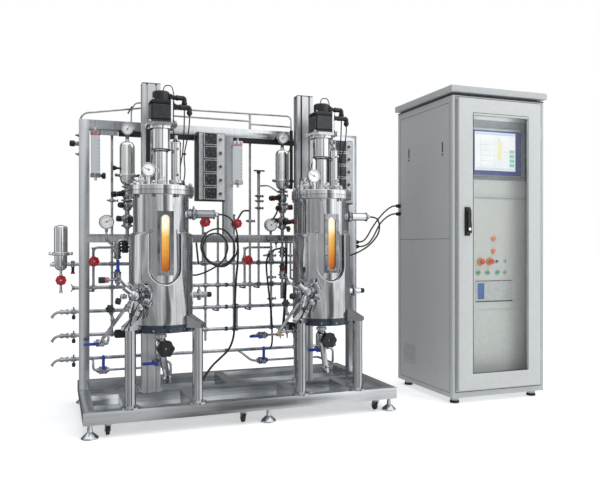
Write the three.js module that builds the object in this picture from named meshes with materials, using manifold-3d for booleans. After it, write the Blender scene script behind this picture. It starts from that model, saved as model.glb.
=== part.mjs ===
// Twin-vessel bioreactor: two jacketed stainless steel fermenters on a wheeled skid, with lid lifts,
// steam and air pipework behind them, and a control cabinet joined to the skid by two cables.
// Millimetres, +Z up, front towards -Y. X = 0 is the skid's left end, Y = 0 its front face, Z = 0 the floor.

import * as THREE from "three";
import { mergeVertices } from "three/addons/utils/BufferGeometryUtils.js";
import Module from "manifold-3d";

const wasm = await Module();
wasm.setup();

// ---------------------------------------------------------------- driving dimensions

const GAP = 0.3; // seating and running clearance between neighbouring pieces

// Skid
const BASE_LENGTH = 1548;
const BASE_DEPTH = 778;
const DECK = 120; // top of the base rails
const RAIL_WIDTH = 50;
const RAIL_HEIGHT = 57;
const MID_RAIL_Y = 340;
const TRAY_LIFT = 6; // the drip tray above the rails' undersides
const TRAY_SHEET = 3;
const FOOT_OD = 76;
const FOOT_INSET = 30;
const MID_FOOT_X = 860;
const CASTER_INSET = 107;
const MID_CASTER_X = 735;
const CASTER_WHEEL_OD = 45;
const CASTER_WHEEL_WIDTH = 17;
const CASTER_LIFT = 5; // the casters hang clear of the floor while the skid stands on its feet

// Back frame
const FRAME_Y = 490;
const FRAME_TUBE = 50;
const FRAME_TOP = 1500;
const MID_BEAM_Z = 872;
const MID_BEAM_HEIGHT = 43;
const MID_UPRIGHT_X = 752;

// Vessels, built about their own vertical axis
const VESSEL_A_X = 358;
const VESSEL_B_X = 1181;
const VESSEL_Y = 135;
const SHELL_OD = 260;
const SHELL_WALL = 5;
const JACKET_OD = 298;
const JACKET_TOP = 915;
const JACKET_BOTTOM = 485;
const DISH_BOTTOM = 449;
const FLANGE_OD = 309;
const FLANGE_BOTTOM = 1093;
const FLANGE_THICKNESS = 20;
const LID_THICKNESS = 22;
const CUT_OUT_WIDTH = 150;
const CUT_OUT_BOTTOM = 674;
const SLOT_WIDTH = 41;
const SLOT_BOTTOM = 736;
const SLOT_TOP = 997;
const WINDOW_RIM = 17;
const GLASS_THICKNESS = 10;
const LEG_OD = 51;
const LEG_OFFSET_X = 153.5;
const LEG_Y = 25;
const LEG_TOP = 480;
const LEG_FLANGE_OD = 86;

// Ports on the shell
const PROBE_Z = 1008;
const PROBE_OD = 40;
const PROBE_REACH = 261;
const LOW_PORT_Z = 618;
const LOW_PORT_REACH = 222;
const SAMPLE_PORT_Z = 630;
const SAMPLE_TUBE_OD = 14; // the inclined outlet of the sampling valve
const SAMPLE_PORT_ANGLE = -133; // degrees round from +X
const PORT_RELIEF_R = 43; // round cut-outs of the jacket about the low ports

// Lid, drive and lift
const SHAFT_OD = 16;
const DRIVE_COLUMN_OD = 62;
const DRIVE_CUP_Z = 1310;
const DRIVE_CUP_OD = 89;
const DRIVE_TOP = 1434;
const MOTOR_FLANGE = 140;
const MOTOR_SIZE = 110;
const MOTOR_HEIGHT = 107;
const ENCODER_OD = 85;
const ENCODER_HEIGHT = 47;
const CONDENSER_X = 73;
const CONDENSER_OD = 45;
const CONDENSER_TOP = 1368;
const GAUGE_OD = 60;
const IMPELLER_OD = 90;
const SHAFT_BOTTOM = 560;
const COLUMN_WIDTH = 90;
const COLUMN_DEPTH = 60;
const COLUMN_CLEARANCE = 30.5; // from the flange to the lift column
const COLUMN_OFFSET_X = -20;
const COLUMN_TOP = 1667;
const CARRIAGE_HEIGHT = 85;

// Pipework
const PIPE_OD = 19;
const BRANCH_OD = 13;
const ROW_Z = 272; // lowest header
const ROW_PITCH = 122;
const ROWS = 5;
const ROW_LEFT = -62;
const ROW_RIGHT = 1440;
const BRANCH_Y = 460; // branches run in front of the back frame
const HANDWHEEL_OD = 54;
const LEVER_LENGTH = 82;
const VENT_OD = 10; // exhaust lines above the back frame
const VENT_Z = 1600;
const FILTER_OD = 76;
const FILTER_A_X = 234;
const FILTER_B_X = 1077;
const STEAM_FILTER_X = -87;
const STEAM_FILTER_OD = 66;

// Pump panels
const PANEL_WIDTH = 148;
const PANEL_BOTTOM = 1095;
const PANEL_TOP = 1453;
const PANEL_FRONT = 400;

// Cabinet
const CABINET_X = 1885;
const CABINET_WIDTH = 600;
const CABINET_DEPTH = 600;
const CABINET_FOOT = 35;
const CABINET_TOP = 1672;
const CABINET_WALL = 18;
const ROOF_THICKNESS = 34;
const ROOF_OVERHANG = 14;
const ROOF_NECK = 10;
const DOOR_LEFT = 27; // from the cabinet's left edge
const DOOR_RIGHT = 35; // from its right edge
const DOOR_BOTTOM = 76;
const DOOR_TOP = 1651;
const DOOR_THICKNESS = 20;
const DOOR_REVEAL = 2;
const DOOR_STILE = 88;
const DOOR_RAIL = 88;
const PANE_THICKNESS = 5;
const PANE_REBATE = 9;
const CONTROL_PANEL_Y = 80;
const CONTROL_PANEL_THICKNESS = 6;
const MONITOR_WIDTH = 316;
const MONITOR_HEIGHT = 250;
const MONITOR_CENTRE_X = 2228;
const MONITOR_CENTRE_Z = 1377;
const STOP_BUTTON_OD = 34;
const STOP_BUTTON_Z = 766;
const STOP_BUTTON_XS = [2117, 2177];

// Cables
const CABINET_CABLE_OD = 9;
const PROBE_CABLE_OD = 7;
const GLAND_OD = 22;
const GLAND_LENGTH = 24;

// ---------------------------------------------------------------- shared sizes

const SHELL_R = SHELL_OD / 2;
const JACKET_R = JACKET_OD / 2;
const BORE_R = SHELL_R - SHELL_WALL;
const FLANGE_TOP = FLANGE_BOTTOM + FLANGE_THICKNESS;
const LID_BOTTOM = FLANGE_TOP + GAP;
const LID_TOP = LID_BOTTOM + LID_THICKNESS;
const RAIL_BOTTOM = DECK - RAIL_HEIGHT;
const FRAME_BACK = FRAME_Y + FRAME_TUBE;
const PIPE_Y = FRAME_BACK + GAP + PIPE_OD / 2;
const COLUMN_Y = VESSEL_Y + FLANGE_OD / 2 + COLUMN_CLEARANCE;
const VESSEL_XS = [VESSEL_A_X, VESSEL_B_X];
const LETTERS = ["a", "b"];

// Facets round a circle, by its size
const COARSE = 6;
const SMALL = 8;
const MEDIUM = 12;
const LARGE = 24;

// ---------------------------------------------------------------- materials

const finish = (color, roughness, metalness) => new THREE.MeshStandardMaterial({ color, roughness, metalness });
const stainless = finish(0xb9bbbc, 0.25, 1);
const brushed = finish(0xa4a7a9, 0.4, 1);
const aluminium = finish(0xc2c5c8, 0.45, 1);
const blackPaint = finish(0x2c2f33, 0.5, 0.1);
const blackRubber = finish(0x17181a, 0.7, 0);
const redPlastic = finish(0xc4202b, 0.4, 0);
const blueSleeve = finish(0x2b3f9b, 0.45, 0);
const greyPaint = finish(0xc9cac9, 0.5, 0.1);
const panelGrey = finish(0x8f9396, 0.5, 0.3);
const brothGlass = finish(0xe8b45a, 0.1, 0);
const clearGlass = finish(0xdfe7ea, 0.05, 0);
const screenBlue = finish(0x3d8ed0, 0.3, 0);

// ---------------------------------------------------------------- solids

// A closed geometry as a manifold-3d solid.
function solid(geometry) {
  const bare = new THREE.BufferGeometry().setAttribute("position", geometry.getAttribute("position"));
  if (geometry.index) bare.setIndex(geometry.index);
  const merged = mergeVertices(bare, 1e-4);
  const corners = merged.index.array;
  const triVerts = [];
  for (let i = 0; i < corners.length; i += 3) {
    const [a, b, c] = corners.slice(i, i + 3);
    if (a !== b && b !== c && c !== a) triVerts.push(a, b, c);
  }
  return new wasm.Manifold(
    new wasm.Mesh({
      numProp: 3,
      vertProperties: merged.getAttribute("position").array,
      triVerts: new Uint32Array(triVerts),
    }),
  );
}

// The radius of a faceted bore that clears a round pin.
const boreRadius = (pinDiameter, sides) => (pinDiameter / 2 + GAP) / Math.cos(Math.PI / sides);

const fuse = (...solids) => solids.flat().reduce((all, next) => all.add(next));
const cut = (body, ...tools) => tools.flat().reduce((left, tool) => left.subtract(tool), body);

// A box between two opposite corners.
function block([x0, y0, z0], [x1, y1, z1]) {
  const box = new THREE.BoxGeometry(x1 - x0, y1 - y0, z1 - z0);
  return solid(box.translate((x0 + x1) / 2, (y0 + y1) / 2, (z0 + z1) / 2));
}

// Turns a geometry made along +Y so that it runs from a point along a direction.
function aim(geometry, origin, direction) {
  const turn = new THREE.Quaternion().setFromUnitVectors(
    new THREE.Vector3(0, 1, 0),
    new THREE.Vector3(...direction).normalize(),
  );
  return solid(geometry.applyQuaternion(turn).translate(...origin));
}

// A turned form about an axis: its profile is [radius, distance along the axis] and starts and ends on the axis,
// or closes on itself.
function turned(profile, sides, origin = [0, 0, 0], direction = [0, 0, 1]) {
  const points = profile.map(([r, along]) => new THREE.Vector2(r, along));
  return aim(new THREE.LatheGeometry(points, sides), origin, direction);
}

// A round bar between two points.
function rod(from, to, diameter, sides = COARSE) {
  const start = new THREE.Vector3(...from);
  const run = new THREE.Vector3(...to).sub(start);
  const length = run.length();
  const r = diameter / 2;
  const bar = new THREE.CylinderGeometry(r, r, length, sides).translate(0, length / 2, 0);
  return aim(bar, from, run.toArray());
}

// A route whose steps fall exactly on its own points.
class Route extends THREE.Curve {
  constructor(points) {
    super();
    this.points = points;
  }

  getPointAt(u, target = new THREE.Vector3()) {
    return target.copy(this.points[Math.round(u * (this.points.length - 1))]);
  }

  getTangentAt(u, target = new THREE.Vector3()) {
    const i = Math.round(u * (this.points.length - 1));
    const before = this.points[Math.max(i - 1, 0)];
    const after = this.points[Math.min(i + 1, this.points.length - 1)];
    const here = this.points[i];
    const arriving = here.clone().sub(before).normalize();
    const leaving = after.clone().sub(here).normalize();
    return target.copy(arriving).add(leaving).normalize();
  }
}

// A bent pipe through a list of corners: each corner becomes a bend of twice the pipe's diameter.
function pipe(corners, diameter, sides = COARSE) {
  const points = corners.map((corner) => new THREE.Vector3(...corner));
  const bends = points.slice(1, -1).flatMap((corner, i) => {
    const back = points[i].clone().sub(corner);
    const on = points[i + 2].clone().sub(corner);
    const radius = Math.min(2 * diameter, 0.45 * back.length(), 0.45 * on.length());
    const start = back.setLength(radius).add(corner);
    const end = on.setLength(radius).add(corner);
    const middle = start.clone().add(end).multiplyScalar(0.5).lerp(corner, 0.5);
    return [start, middle, end];
  });
  const route = new Route([points[0], ...bends, points.at(-1)]);
  const section = new THREE.Shape();
  section.absarc(0, 0, diameter / 2, 0, 2 * Math.PI, false);
  const settings = { steps: route.points.length - 1, extrudePath: route, curveSegments: sides / 2 };
  return solid(new THREE.ExtrudeGeometry(section, settings));
}

// An outline in the X-Z plane, extruded from y0 to y1.
function plateXZ(shape, y0, y1, curveSegments = 8) {
  const plate = new THREE.ExtrudeGeometry(shape, { depth: y1 - y0, bevelEnabled: false, curveSegments });
  return solid(plate.rotateX(Math.PI / 2).translate(0, y1, 0));
}

// An outline in the X-Y plane, extruded from z0 to z1.
function plateXY(shape, z0, z1, curveSegments = 8) {
  const plate = new THREE.ExtrudeGeometry(shape, { depth: z1 - z0, bevelEnabled: false, curveSegments });
  return solid(plate.translate(0, 0, z0));
}

// A slot with round ends, upright in X-Z.
function slotShape(width, z0, z1) {
  const r = width / 2;
  const shape = new THREE.Shape();
  shape.moveTo(-r, z0 + r);
  shape.absarc(0, z0 + r, r, Math.PI, 2 * Math.PI, false);
  shape.absarc(0, z1 - r, r, 0, Math.PI, false);
  shape.closePath();
  return shape;
}

// A rectangle with chamfered corners, centred on the origin.
function chamferedRectangle(width, depth, chamfer) {
  const x = width / 2;
  const y = depth / 2;
  const outline = [
    [x - chamfer, -y],
    [x, chamfer - y],
    [x, y - chamfer],
    [x - chamfer, y],
    [chamfer - x, y],
    [-x, y - chamfer],
    [-x, chamfer - y],
    [chamfer - x, -y],
  ];
  return new THREE.Shape(outline.map(([px, py]) => new THREE.Vector2(px, py)));
}

// A named mesh made from a solid, placed at its pivot.
function piece(name, body, material, at = [0, 0, 0]) {
  const { vertProperties, triVerts } = body.getMesh();
  const geometry = new THREE.BufferGeometry();
  geometry.setAttribute("position", new THREE.BufferAttribute(vertProperties, 3));
  geometry.setIndex(new THREE.BufferAttribute(triVerts, 1));
  geometry.computeVertexNormals();
  const mesh = new THREE.Mesh(geometry, material);
  mesh.name = name;
  mesh.position.set(...at);
  return mesh;
}

// ---------------------------------------------------------------- skid base

const FRONT_AND_REAR = [FOOT_INSET, BASE_DEPTH - FOOT_INSET];

// A levelling foot: a bell-shaped pad on a threaded stem that ends in the rail.
function levellingFoot(x, y) {
  const profile = [
    [0, 0],
    [FOOT_OD / 2, 0],
    [FOOT_OD / 2, 7],
    [12, 30],
    [9, RAIL_BOTTOM + 5],
    [0, RAIL_BOTTOM + 5],
  ];
  return turned(profile, SMALL, [x, y, 0]);
}

function baseFrame() {
  const railX = (x0, x1, y) => block([x0, y, RAIL_BOTTOM], [x1, y + RAIL_WIDTH, DECK]);
  const railY = (x, y0, y1) => block([x, y0, RAIL_BOTTOM], [x + RAIL_WIDTH, y1, DECK]);
  const half = RAIL_WIDTH / 2;
  const crossXs = VESSEL_XS.flatMap((x) => [x - LEG_OFFSET_X - half, x + LEG_OFFSET_X - half]);
  const feet = [FOOT_INSET, MID_FOOT_X, BASE_LENGTH - FOOT_INSET].flatMap((x) =>
    FRONT_AND_REAR.map((y) => levellingFoot(x, y)),
  );
  return fuse(
    railX(0, BASE_LENGTH, 0),
    railX(0, BASE_LENGTH, BASE_DEPTH - RAIL_WIDTH),
    railX(0, BASE_LENGTH, MID_RAIL_Y),
    railY(0, 0, BASE_DEPTH),
    railY(BASE_LENGTH - RAIL_WIDTH, 0, BASE_DEPTH),
    crossXs.map((x) => railY(x, 0, MID_RAIL_Y + half)),
    railY(MID_UPRIGHT_X, MID_RAIL_Y, BASE_DEPTH),
    block(
      [half, half, RAIL_BOTTOM + TRAY_LIFT],
      [BASE_LENGTH - half, BASE_DEPTH - half, RAIL_BOTTOM + TRAY_LIFT + TRAY_SHEET],
    ),
    feet,
  );
}

// Swivel caster: the fork turns about its king pin, the wheel about the axle that the fork holds.
const CASTER_AXLE_Z = CASTER_LIFT + CASTER_WHEEL_OD / 2;
const CASTER_TRAIL = 12;
const AXLE_OD = 7;

function casterFork() {
  const top = RAIL_BOTTOM - GAP;
  const inner = CASTER_WHEEL_WIDTH / 2 + 1;
  const outer = inner + 3;
  const crown = top - 7;
  const cheek = (x0, x1) => {
    const side = new THREE.Shape();
    side.moveTo(-14, crown);
    side.lineTo(CASTER_TRAIL - 6, CASTER_AXLE_Z - 5);
    side.lineTo(CASTER_TRAIL + 6, CASTER_AXLE_Z - 5);
    side.lineTo(14, crown);
    side.closePath();
    const plate = new THREE.ExtrudeGeometry(side, { depth: x1 - x0, bevelEnabled: false });
    // The outline's first axis is laid along Y and its second along Z.
    return solid(plate.applyMatrix4(new THREE.Matrix4().set(0, 0, 1, x0, 1, 0, 0, 0, 0, 1, 0, 0, 0, 0, 0, 1)));
  };
  return fuse(
    rod([0, 0, crown - 1], [0, 0, top], 34, SMALL),
    block([-outer, -14, crown - 4], [outer, 14, crown]),
    cheek(-outer, -inner),
    cheek(inner, outer),
    rod([-outer - 2, CASTER_TRAIL, CASTER_AXLE_Z], [outer + 2, CASTER_TRAIL, CASTER_AXLE_Z], AXLE_OD),
  );
}

function casterWheel() {
  const half = CASTER_WHEEL_WIDTH / 2;
  const bore = boreRadius(AXLE_OD, SMALL);
  const rim = CASTER_WHEEL_OD / 2;
  const profile = [
    [bore, -half],
    [rim - 3, -half],
    [rim, 3 - half],
    [rim, half - 3],
    [rim - 3, half],
    [bore, half],
    [bore, -half],
  ];
  return turned(profile, SMALL, [0, 0, 0], [1, 0, 0]);
}

function casters() {
  const spots = [
    ["front_left", CASTER_INSET, FOOT_INSET],
    ["front_middle", MID_CASTER_X, FOOT_INSET],
    ["front_right", BASE_LENGTH - CASTER_INSET, FOOT_INSET],
    ["rear_left", CASTER_INSET, BASE_DEPTH - FOOT_INSET],
    ["rear_right", BASE_LENGTH - CASTER_INSET, BASE_DEPTH - FOOT_INSET],
  ];
  const fork = casterFork();
  const wheel = casterWheel();
  return spots.flatMap(([name, x, y]) => [
    piece("caster_fork_" + name, fork, brushed, [x, y, 0]),
    piece("caster_wheel_" + name, wheel, blackRubber, [x, y + CASTER_TRAIL, CASTER_AXLE_Z]),
  ]);
}

// ---------------------------------------------------------------- back frame

const UPRIGHT_GLAND_ZS = [876, 850];

// A gland: a hexagonal body that a cable passes into, pointing along a direction.
function gland(origin, direction, length = GLAND_LENGTH) {
  const profile = [
    [0, 0],
    [GLAND_OD / 2, 0],
    [GLAND_OD / 2, length * 0.55],
    [GLAND_OD / 2 - 3, length],
    [0, length],
  ];
  return turned(profile, 6, origin, direction);
}

function backFrame() {
  const tubeZ = (x, z0, z1) => block([x, FRAME_Y, z0], [x + FRAME_TUBE, FRAME_BACK, z1]);
  const right = BASE_LENGTH - FRAME_TUBE;
  const cableGlands = UPRIGHT_GLAND_ZS.map((z) =>
    gland([BASE_LENGTH - 1, FRAME_Y + FRAME_TUBE / 2, z], [1, 0, 0], GLAND_LENGTH + 1),
  );
  return fuse(
    tubeZ(0, DECK + GAP, FRAME_TOP),
    tubeZ(right, DECK + GAP, FRAME_TOP),
    tubeZ(MID_UPRIGHT_X, MID_BEAM_Z + 1, FRAME_TOP - 1),
    block([0, FRAME_Y, FRAME_TOP - FRAME_TUBE], [BASE_LENGTH, FRAME_BACK, FRAME_TOP]),
    block([0, FRAME_Y, MID_BEAM_Z], [BASE_LENGTH, FRAME_BACK, MID_BEAM_Z + MID_BEAM_HEIGHT]),
    cableGlands,
  );
}

// ---------------------------------------------------------------- vessel

// A quarter-ellipse of the dished end, from the rim inward to the axis.
function dish(radius, rimZ, bottomZ, steps) {
  const points = [];
  for (let i = steps; i >= 0; i -= 1) {
    const angle = ((Math.PI / 2) * i) / steps;
    points.push([radius * Math.sin(angle), rimZ - (rimZ - bottomZ) * Math.cos(angle)]);
  }
  return points;
}

const NOZZLE_R = 19;
const NOZZLE_BOTTOM = DISH_BOTTOM - 22;
const SHOULDER = 14; // rounding at the top and bottom of the jacket
const WINDOW_FACE = SHELL_R + 9; // distance of the window frame's face from the axis

function vesselBody() {
  const outside = [
    [0, NOZZLE_BOTTOM],
    [NOZZLE_R + 8, NOZZLE_BOTTOM],
    [NOZZLE_R + 8, NOZZLE_BOTTOM + 6],
    [NOZZLE_R, NOZZLE_BOTTOM + 9],
    [NOZZLE_R, DISH_BOTTOM],
    [JACKET_R * 0.62, DISH_BOTTOM + 8],
    [JACKET_R - SHOULDER, JACKET_BOTTOM - 10],
    [JACKET_R - 3, JACKET_BOTTOM],
    [JACKET_R, JACKET_BOTTOM + SHOULDER],
    [JACKET_R, JACKET_TOP - SHOULDER],
    [JACKET_R - 4, JACKET_TOP - 4],
    [SHELL_R, JACKET_TOP],
    [SHELL_R, FLANGE_BOTTOM],
    [FLANGE_OD / 2, FLANGE_BOTTOM],
    [FLANGE_OD / 2, FLANGE_TOP],
  ];
  const inside = [[BORE_R, FLANGE_TOP], ...dish(BORE_R, JACKET_BOTTOM + 35, DISH_BOTTOM + 12, 3)];
  return turned([...outside, ...inside], LARGE);
}

// The U-shaped cut-out of the jacket that bares the shell below and beside the sight window.
function jacketCutOut() {
  const r = CUT_OUT_WIDTH / 2;
  const shape = new THREE.Shape();
  shape.moveTo(-r, JACKET_TOP + 5);
  shape.lineTo(-r, CUT_OUT_BOTTOM + r);
  shape.absarc(0, CUT_OUT_BOTTOM + r, r, Math.PI, 2 * Math.PI, false);
  shape.lineTo(r, JACKET_TOP + 5);
  shape.closePath();
  return plateXZ(shape, -JACKET_R - 20, 0, 10);
}

const onAngle = (degrees, radius, z) => {
  const angle = THREE.MathUtils.degToRad(degrees);
  return [radius * Math.cos(angle), radius * Math.sin(angle), z];
};

// A clamped pipe joint: two ferrules and the band round them, centred at a distance along an axis.
function clampProfile(tubeR, start, end, joint) {
  const band = tubeR + 8;
  return [
    [0, start],
    [tubeR, start],
    [tubeR, joint - 8],
    [band, joint],
    [tubeR, joint + 8],
    [tubeR, end],
    [0, end],
  ];
}

// The sterilisable sample valve: a body on the jacket's left, its actuator rising outwards, and a spout.
function sampleValve() {
  const [ux, uy] = onAngle(SAMPLE_PORT_ANGLE, 1, 0);
  const reach = JACKET_R + 56;
  const body = [ux * reach, uy * reach, SAMPLE_PORT_Z];
  const start = [ux * (SHELL_R - 2), uy * (SHELL_R - 2), SAMPLE_PORT_Z];
  const port = turned(clampProfile(15, 0, reach - SHELL_R, 34), SMALL, start, [ux, uy, 0]);
  const actuator = turned(
    [
      [0, 0],
      [21, 0],
      [21, 20],
      [12, 26],
      [12, 62],
      [0, 62],
    ],
    SMALL,
    body,
    [-0.75, -0.2, 0.62],
  );
  const spout = rod(body, [body[0] - 22, body[1] - 8, SAMPLE_PORT_Z - 74], 16);
  const ball = solid(new THREE.SphereGeometry(25, SMALL, SMALL / 2).translate(...body));
  const outlet = rod(body, [body[0] - 148, body[1] + 10, SAMPLE_PORT_Z - 202], SAMPLE_TUBE_OD);
  return fuse(port, actuator, spout, outlet, ball);
}

// A leg: a tube with a bolting flange on the rail, and a folded bracket welded to the jacket.
function leg(side) {
  const x = side * LEG_OFFSET_X;
  const y = LEG_Y - VESSEL_Y;
  const foot = DECK + GAP;
  const profile = [
    [0, foot],
    [LEG_FLANGE_OD / 2, foot],
    [LEG_FLANGE_OD / 2, foot + 8],
    [LEG_OD / 2, foot + 14],
    [LEG_OD / 2, LEG_TOP],
    [0, LEG_TOP],
  ];
  const tube = turned(profile, SMALL + 4, [x, y, 0]);
  // The bracket lies radially: u runs from the jacket outwards, over the leg.
  const reach = Math.hypot(x, y) + LEG_OD / 2 + 4;
  const bracket = new THREE.Shape();
  bracket.moveTo(SHELL_R + 4, LEG_TOP - 6);
  bracket.lineTo(reach, LEG_TOP - 6);
  bracket.lineTo(reach, LEG_TOP + 10);
  bracket.lineTo(SHELL_R + 4, LEG_TOP + 62);
  bracket.closePath();
  const wedge = plateXZ(bracket, -LEG_OD / 2 - 4, LEG_OD / 2 + 4);
  const heading = THREE.MathUtils.radToDeg(Math.atan2(y, x));
  return fuse(tube, wedge.rotate([0, 0, heading]));
}

// Two stand-offs tie the jacket's back to the lift column.
function rearStandOffs() {
  const back = COLUMN_Y - VESSEL_Y - GAP;
  const x0 = COLUMN_OFFSET_X - 25;
  return [560, 850].map((z) => block([x0, SHELL_R, z], [x0 + 50, back, z + 36]));
}

function vessel() {
  const shell = solid(new THREE.CylinderGeometry(SHELL_R, SHELL_R, 800, LARGE).rotateX(Math.PI / 2)).translate([
    0, 0, 800,
  ]);
  const relief = (angle, z) => {
    const [ux, uy] = onAngle(angle, 1, 0);
    return rod([ux * 40, uy * 40, z], [ux * (JACKET_R + 20), uy * (JACKET_R + 20), z], 2 * PORT_RELIEF_R, SMALL);
  };
  const cutters = fuse(jacketCutOut(), relief(SAMPLE_PORT_ANGLE, SAMPLE_PORT_Z), relief(0, LOW_PORT_Z));
  const jacketed = cut(vesselBody(), cut(cutters, shell));
  const rim = SLOT_WIDTH / 2 + WINDOW_RIM;
  const frame = block([-rim, -WINDOW_FACE, SLOT_BOTTOM - WINDOW_RIM], [rim, 8 - SHELL_R, SLOT_TOP + WINDOW_RIM]);
  const bore = solid(new THREE.CylinderGeometry(BORE_R, BORE_R, 700, LARGE).rotateX(Math.PI / 2)).translate([
    0, 0, 860,
  ]);
  const probe = turned(clampProfile(PROBE_OD / 2, 0, PROBE_REACH - SHELL_R + 2, 12), SMALL, [SHELL_R - 2, 0, PROBE_Z], [
    1, 0, 0,
  ]);
  const lowPort = turned(clampProfile(15, 0, LOW_PORT_REACH - SHELL_R, 52), SMALL, [SHELL_R - 2, 0, LOW_PORT_Z], [
    1, 0, 0,
  ]);
  const window = plateXZ(slotShape(SLOT_WIDTH, SLOT_BOTTOM, SLOT_TOP), -WINDOW_FACE - 5, 20 - SHELL_R);
  const probeGland = gland([PROBE_REACH - 1, 0, PROBE_Z], [1, 0, 0], 16);
  return cut(
    fuse(jacketed, cut(frame, bore), probe, probeGland, lowPort, sampleValve(), leg(-1), leg(1), rearStandOffs()),
    window,
  );
}

function sightGlass() {
  const shape = slotShape(SLOT_WIDTH - 2 * GAP, SLOT_BOTTOM + GAP, SLOT_TOP - GAP);
  return plateXZ(shape, 4 - WINDOW_FACE, 4 - WINDOW_FACE + GLASS_THICKNESS);
}

// ---------------------------------------------------------------- drain valve

const DRAIN_Z = 375;
const DRAIN_TURN = 8; // degrees: the bonnet faces a little to the right
const DRAIN_KNOB_FACE = 62;
const DRAIN_KNOB_OD = 82;
const DRAIN_STEM_OD = 14;

function drainValve() {
  const top = NOZZLE_BOTTOM - GAP;
  const body = turned(
    [
      [0, DRAIN_Z - 32],
      [27, DRAIN_Z - 32],
      [30, DRAIN_Z - 24],
      [30, DRAIN_Z + 22],
      [NOZZLE_R, top - 10],
      [NOZZLE_R + 8, top - 7],
      [NOZZLE_R + 8, top],
      [0, top],
    ],
    MEDIUM,
  );
  const bonnet = turned(
    [
      [0, 0],
      [26, 0],
      [26, 36],
      [20, 42],
      [20, DRAIN_KNOB_FACE - 10],
      [DRAIN_STEM_OD / 2, DRAIN_KNOB_FACE - 8],
      [DRAIN_STEM_OD / 2, DRAIN_KNOB_FACE + 16],
      [0, DRAIN_KNOB_FACE + 16],
    ],
    SMALL,
    [0, 0, DRAIN_Z],
    [0, -1, 0],
  );
  const outlet = turned(clampProfile(16, 0, 182, 150), SMALL, [0, 0, DRAIN_Z - 5], [0.24, 0.12, -1]);
  return fuse(body, bonnet, outlet);
}

// The lobed hand knob, hollow on the stem.
function drainKnob() {
  const lobes = 6;
  const shape = new THREE.Shape();
  const steps = lobes * 6;
  for (let i = 0; i < steps; i += 1) {
    const angle = (2 * Math.PI * i) / steps;
    const r = DRAIN_KNOB_OD / 2 - 3 + 3 * Math.cos(lobes * angle);
    if (i === 0) shape.moveTo(r, 0);
    else shape.lineTo(r * Math.cos(angle), r * Math.sin(angle));
  }
  shape.closePath();
  const bore = new THREE.Path();
  bore.absarc(0, 0, boreRadius(DRAIN_STEM_OD, SMALL), 0, 2 * Math.PI, true);
  shape.holes.push(bore);
  return plateXZ(shape, -28, 0, 6);
}

// ---------------------------------------------------------------- lid, drive and agitator

const LID_BORE_R = boreRadius(SHAFT_OD, LARGE);

function lid() {
  const rim = FLANGE_OD / 2;
  const disc = turned(
    [
      [LID_BORE_R, LID_BOTTOM],
      [rim, LID_BOTTOM],
      [rim, LID_TOP - 2],
      [rim - 2, LID_TOP],
      [LID_BORE_R, LID_TOP],
      [LID_BORE_R, LID_BOTTOM],
    ],
    LARGE,
  );
  const condenser = turned(
    [
      [0, LID_TOP - 1],
      [16, LID_TOP - 1],
      [16, LID_TOP + 18],
      [30, LID_TOP + 20],
      [30, LID_TOP + 27],
      [CONDENSER_OD / 2, LID_TOP + 30],
      [CONDENSER_OD / 2, CONDENSER_TOP - 22],
      [7, CONDENSER_TOP],
      [0, CONDENSER_TOP],
    ],
    SMALL,
    [CONDENSER_X, 10, 0],
  );
  const nozzle = (angle, radius, r, height) =>
    turned(clampProfile(r, 0, height, height * 0.6), COARSE, onAngle(angle, radius, LID_TOP - 1));
  const nozzles = [
    nozzle(-160, 100, 14, 44),
    nozzle(-95, 100, 11, 36),
    nozzle(-55, 95, 12, 40),
    nozzle(150, 98, 14, 52),
    nozzle(48, 112, 11, 46),
  ];
  return fuse(disc, condenser, nozzles, lidGauge(), carriage());
}

// The pressure gauge on its syphon, dial to the front.
function lidGauge() {
  const [x, y, z] = [-66, -62, 1208];
  const stem = pipe(
    [
      [x, y + 12, LID_TOP - 1],
      [x, y + 12, z],
    ],
    14,
  );
  const dial = turned(
    [
      [0, 0],
      [GAUGE_OD / 2, 0],
      [GAUGE_OD / 2, 26],
      [0, 26],
    ],
    MEDIUM,
    [x, y + 24, z],
    [0, -1, 0],
  );
  return fuse(stem, dial);
}

// The lift carriage: a plate that runs on the column's face and an arm to the lid.
function carriage() {
  const face = COLUMN_Y - VESSEL_Y - GAP;
  const x0 = COLUMN_OFFSET_X - COLUMN_WIDTH / 2 + 4;
  const x1 = COLUMN_OFFSET_X + COLUMN_WIDTH / 2 - 4;
  const plate = block([x0, face - 14, LID_TOP - 2], [x1, face, LID_TOP + CARRIAGE_HEIGHT]);
  const arm = block([x0 + 12, 118, LID_TOP - 1], [x1 - 12, face - 2, LID_TOP + 18]);
  const rib = new THREE.Shape();
  rib.moveTo(122, LID_TOP + 12);
  rib.lineTo(face - 4, LID_TOP + 12);
  rib.lineTo(face - 4, LID_TOP + CARRIAGE_HEIGHT - 6);
  rib.closePath();
  const ribs = [x0 + 12, x1 - 18].map((x) => {
    const web = new THREE.ExtrudeGeometry(rib, { depth: 6, bevelEnabled: false });
    return solid(web.applyMatrix4(new THREE.Matrix4().set(0, 0, 1, x, 1, 0, 0, 0, 0, 1, 0, 0, 0, 0, 0, 1)));
  });
  return fuse(plate, arm, ribs);
}

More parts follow.
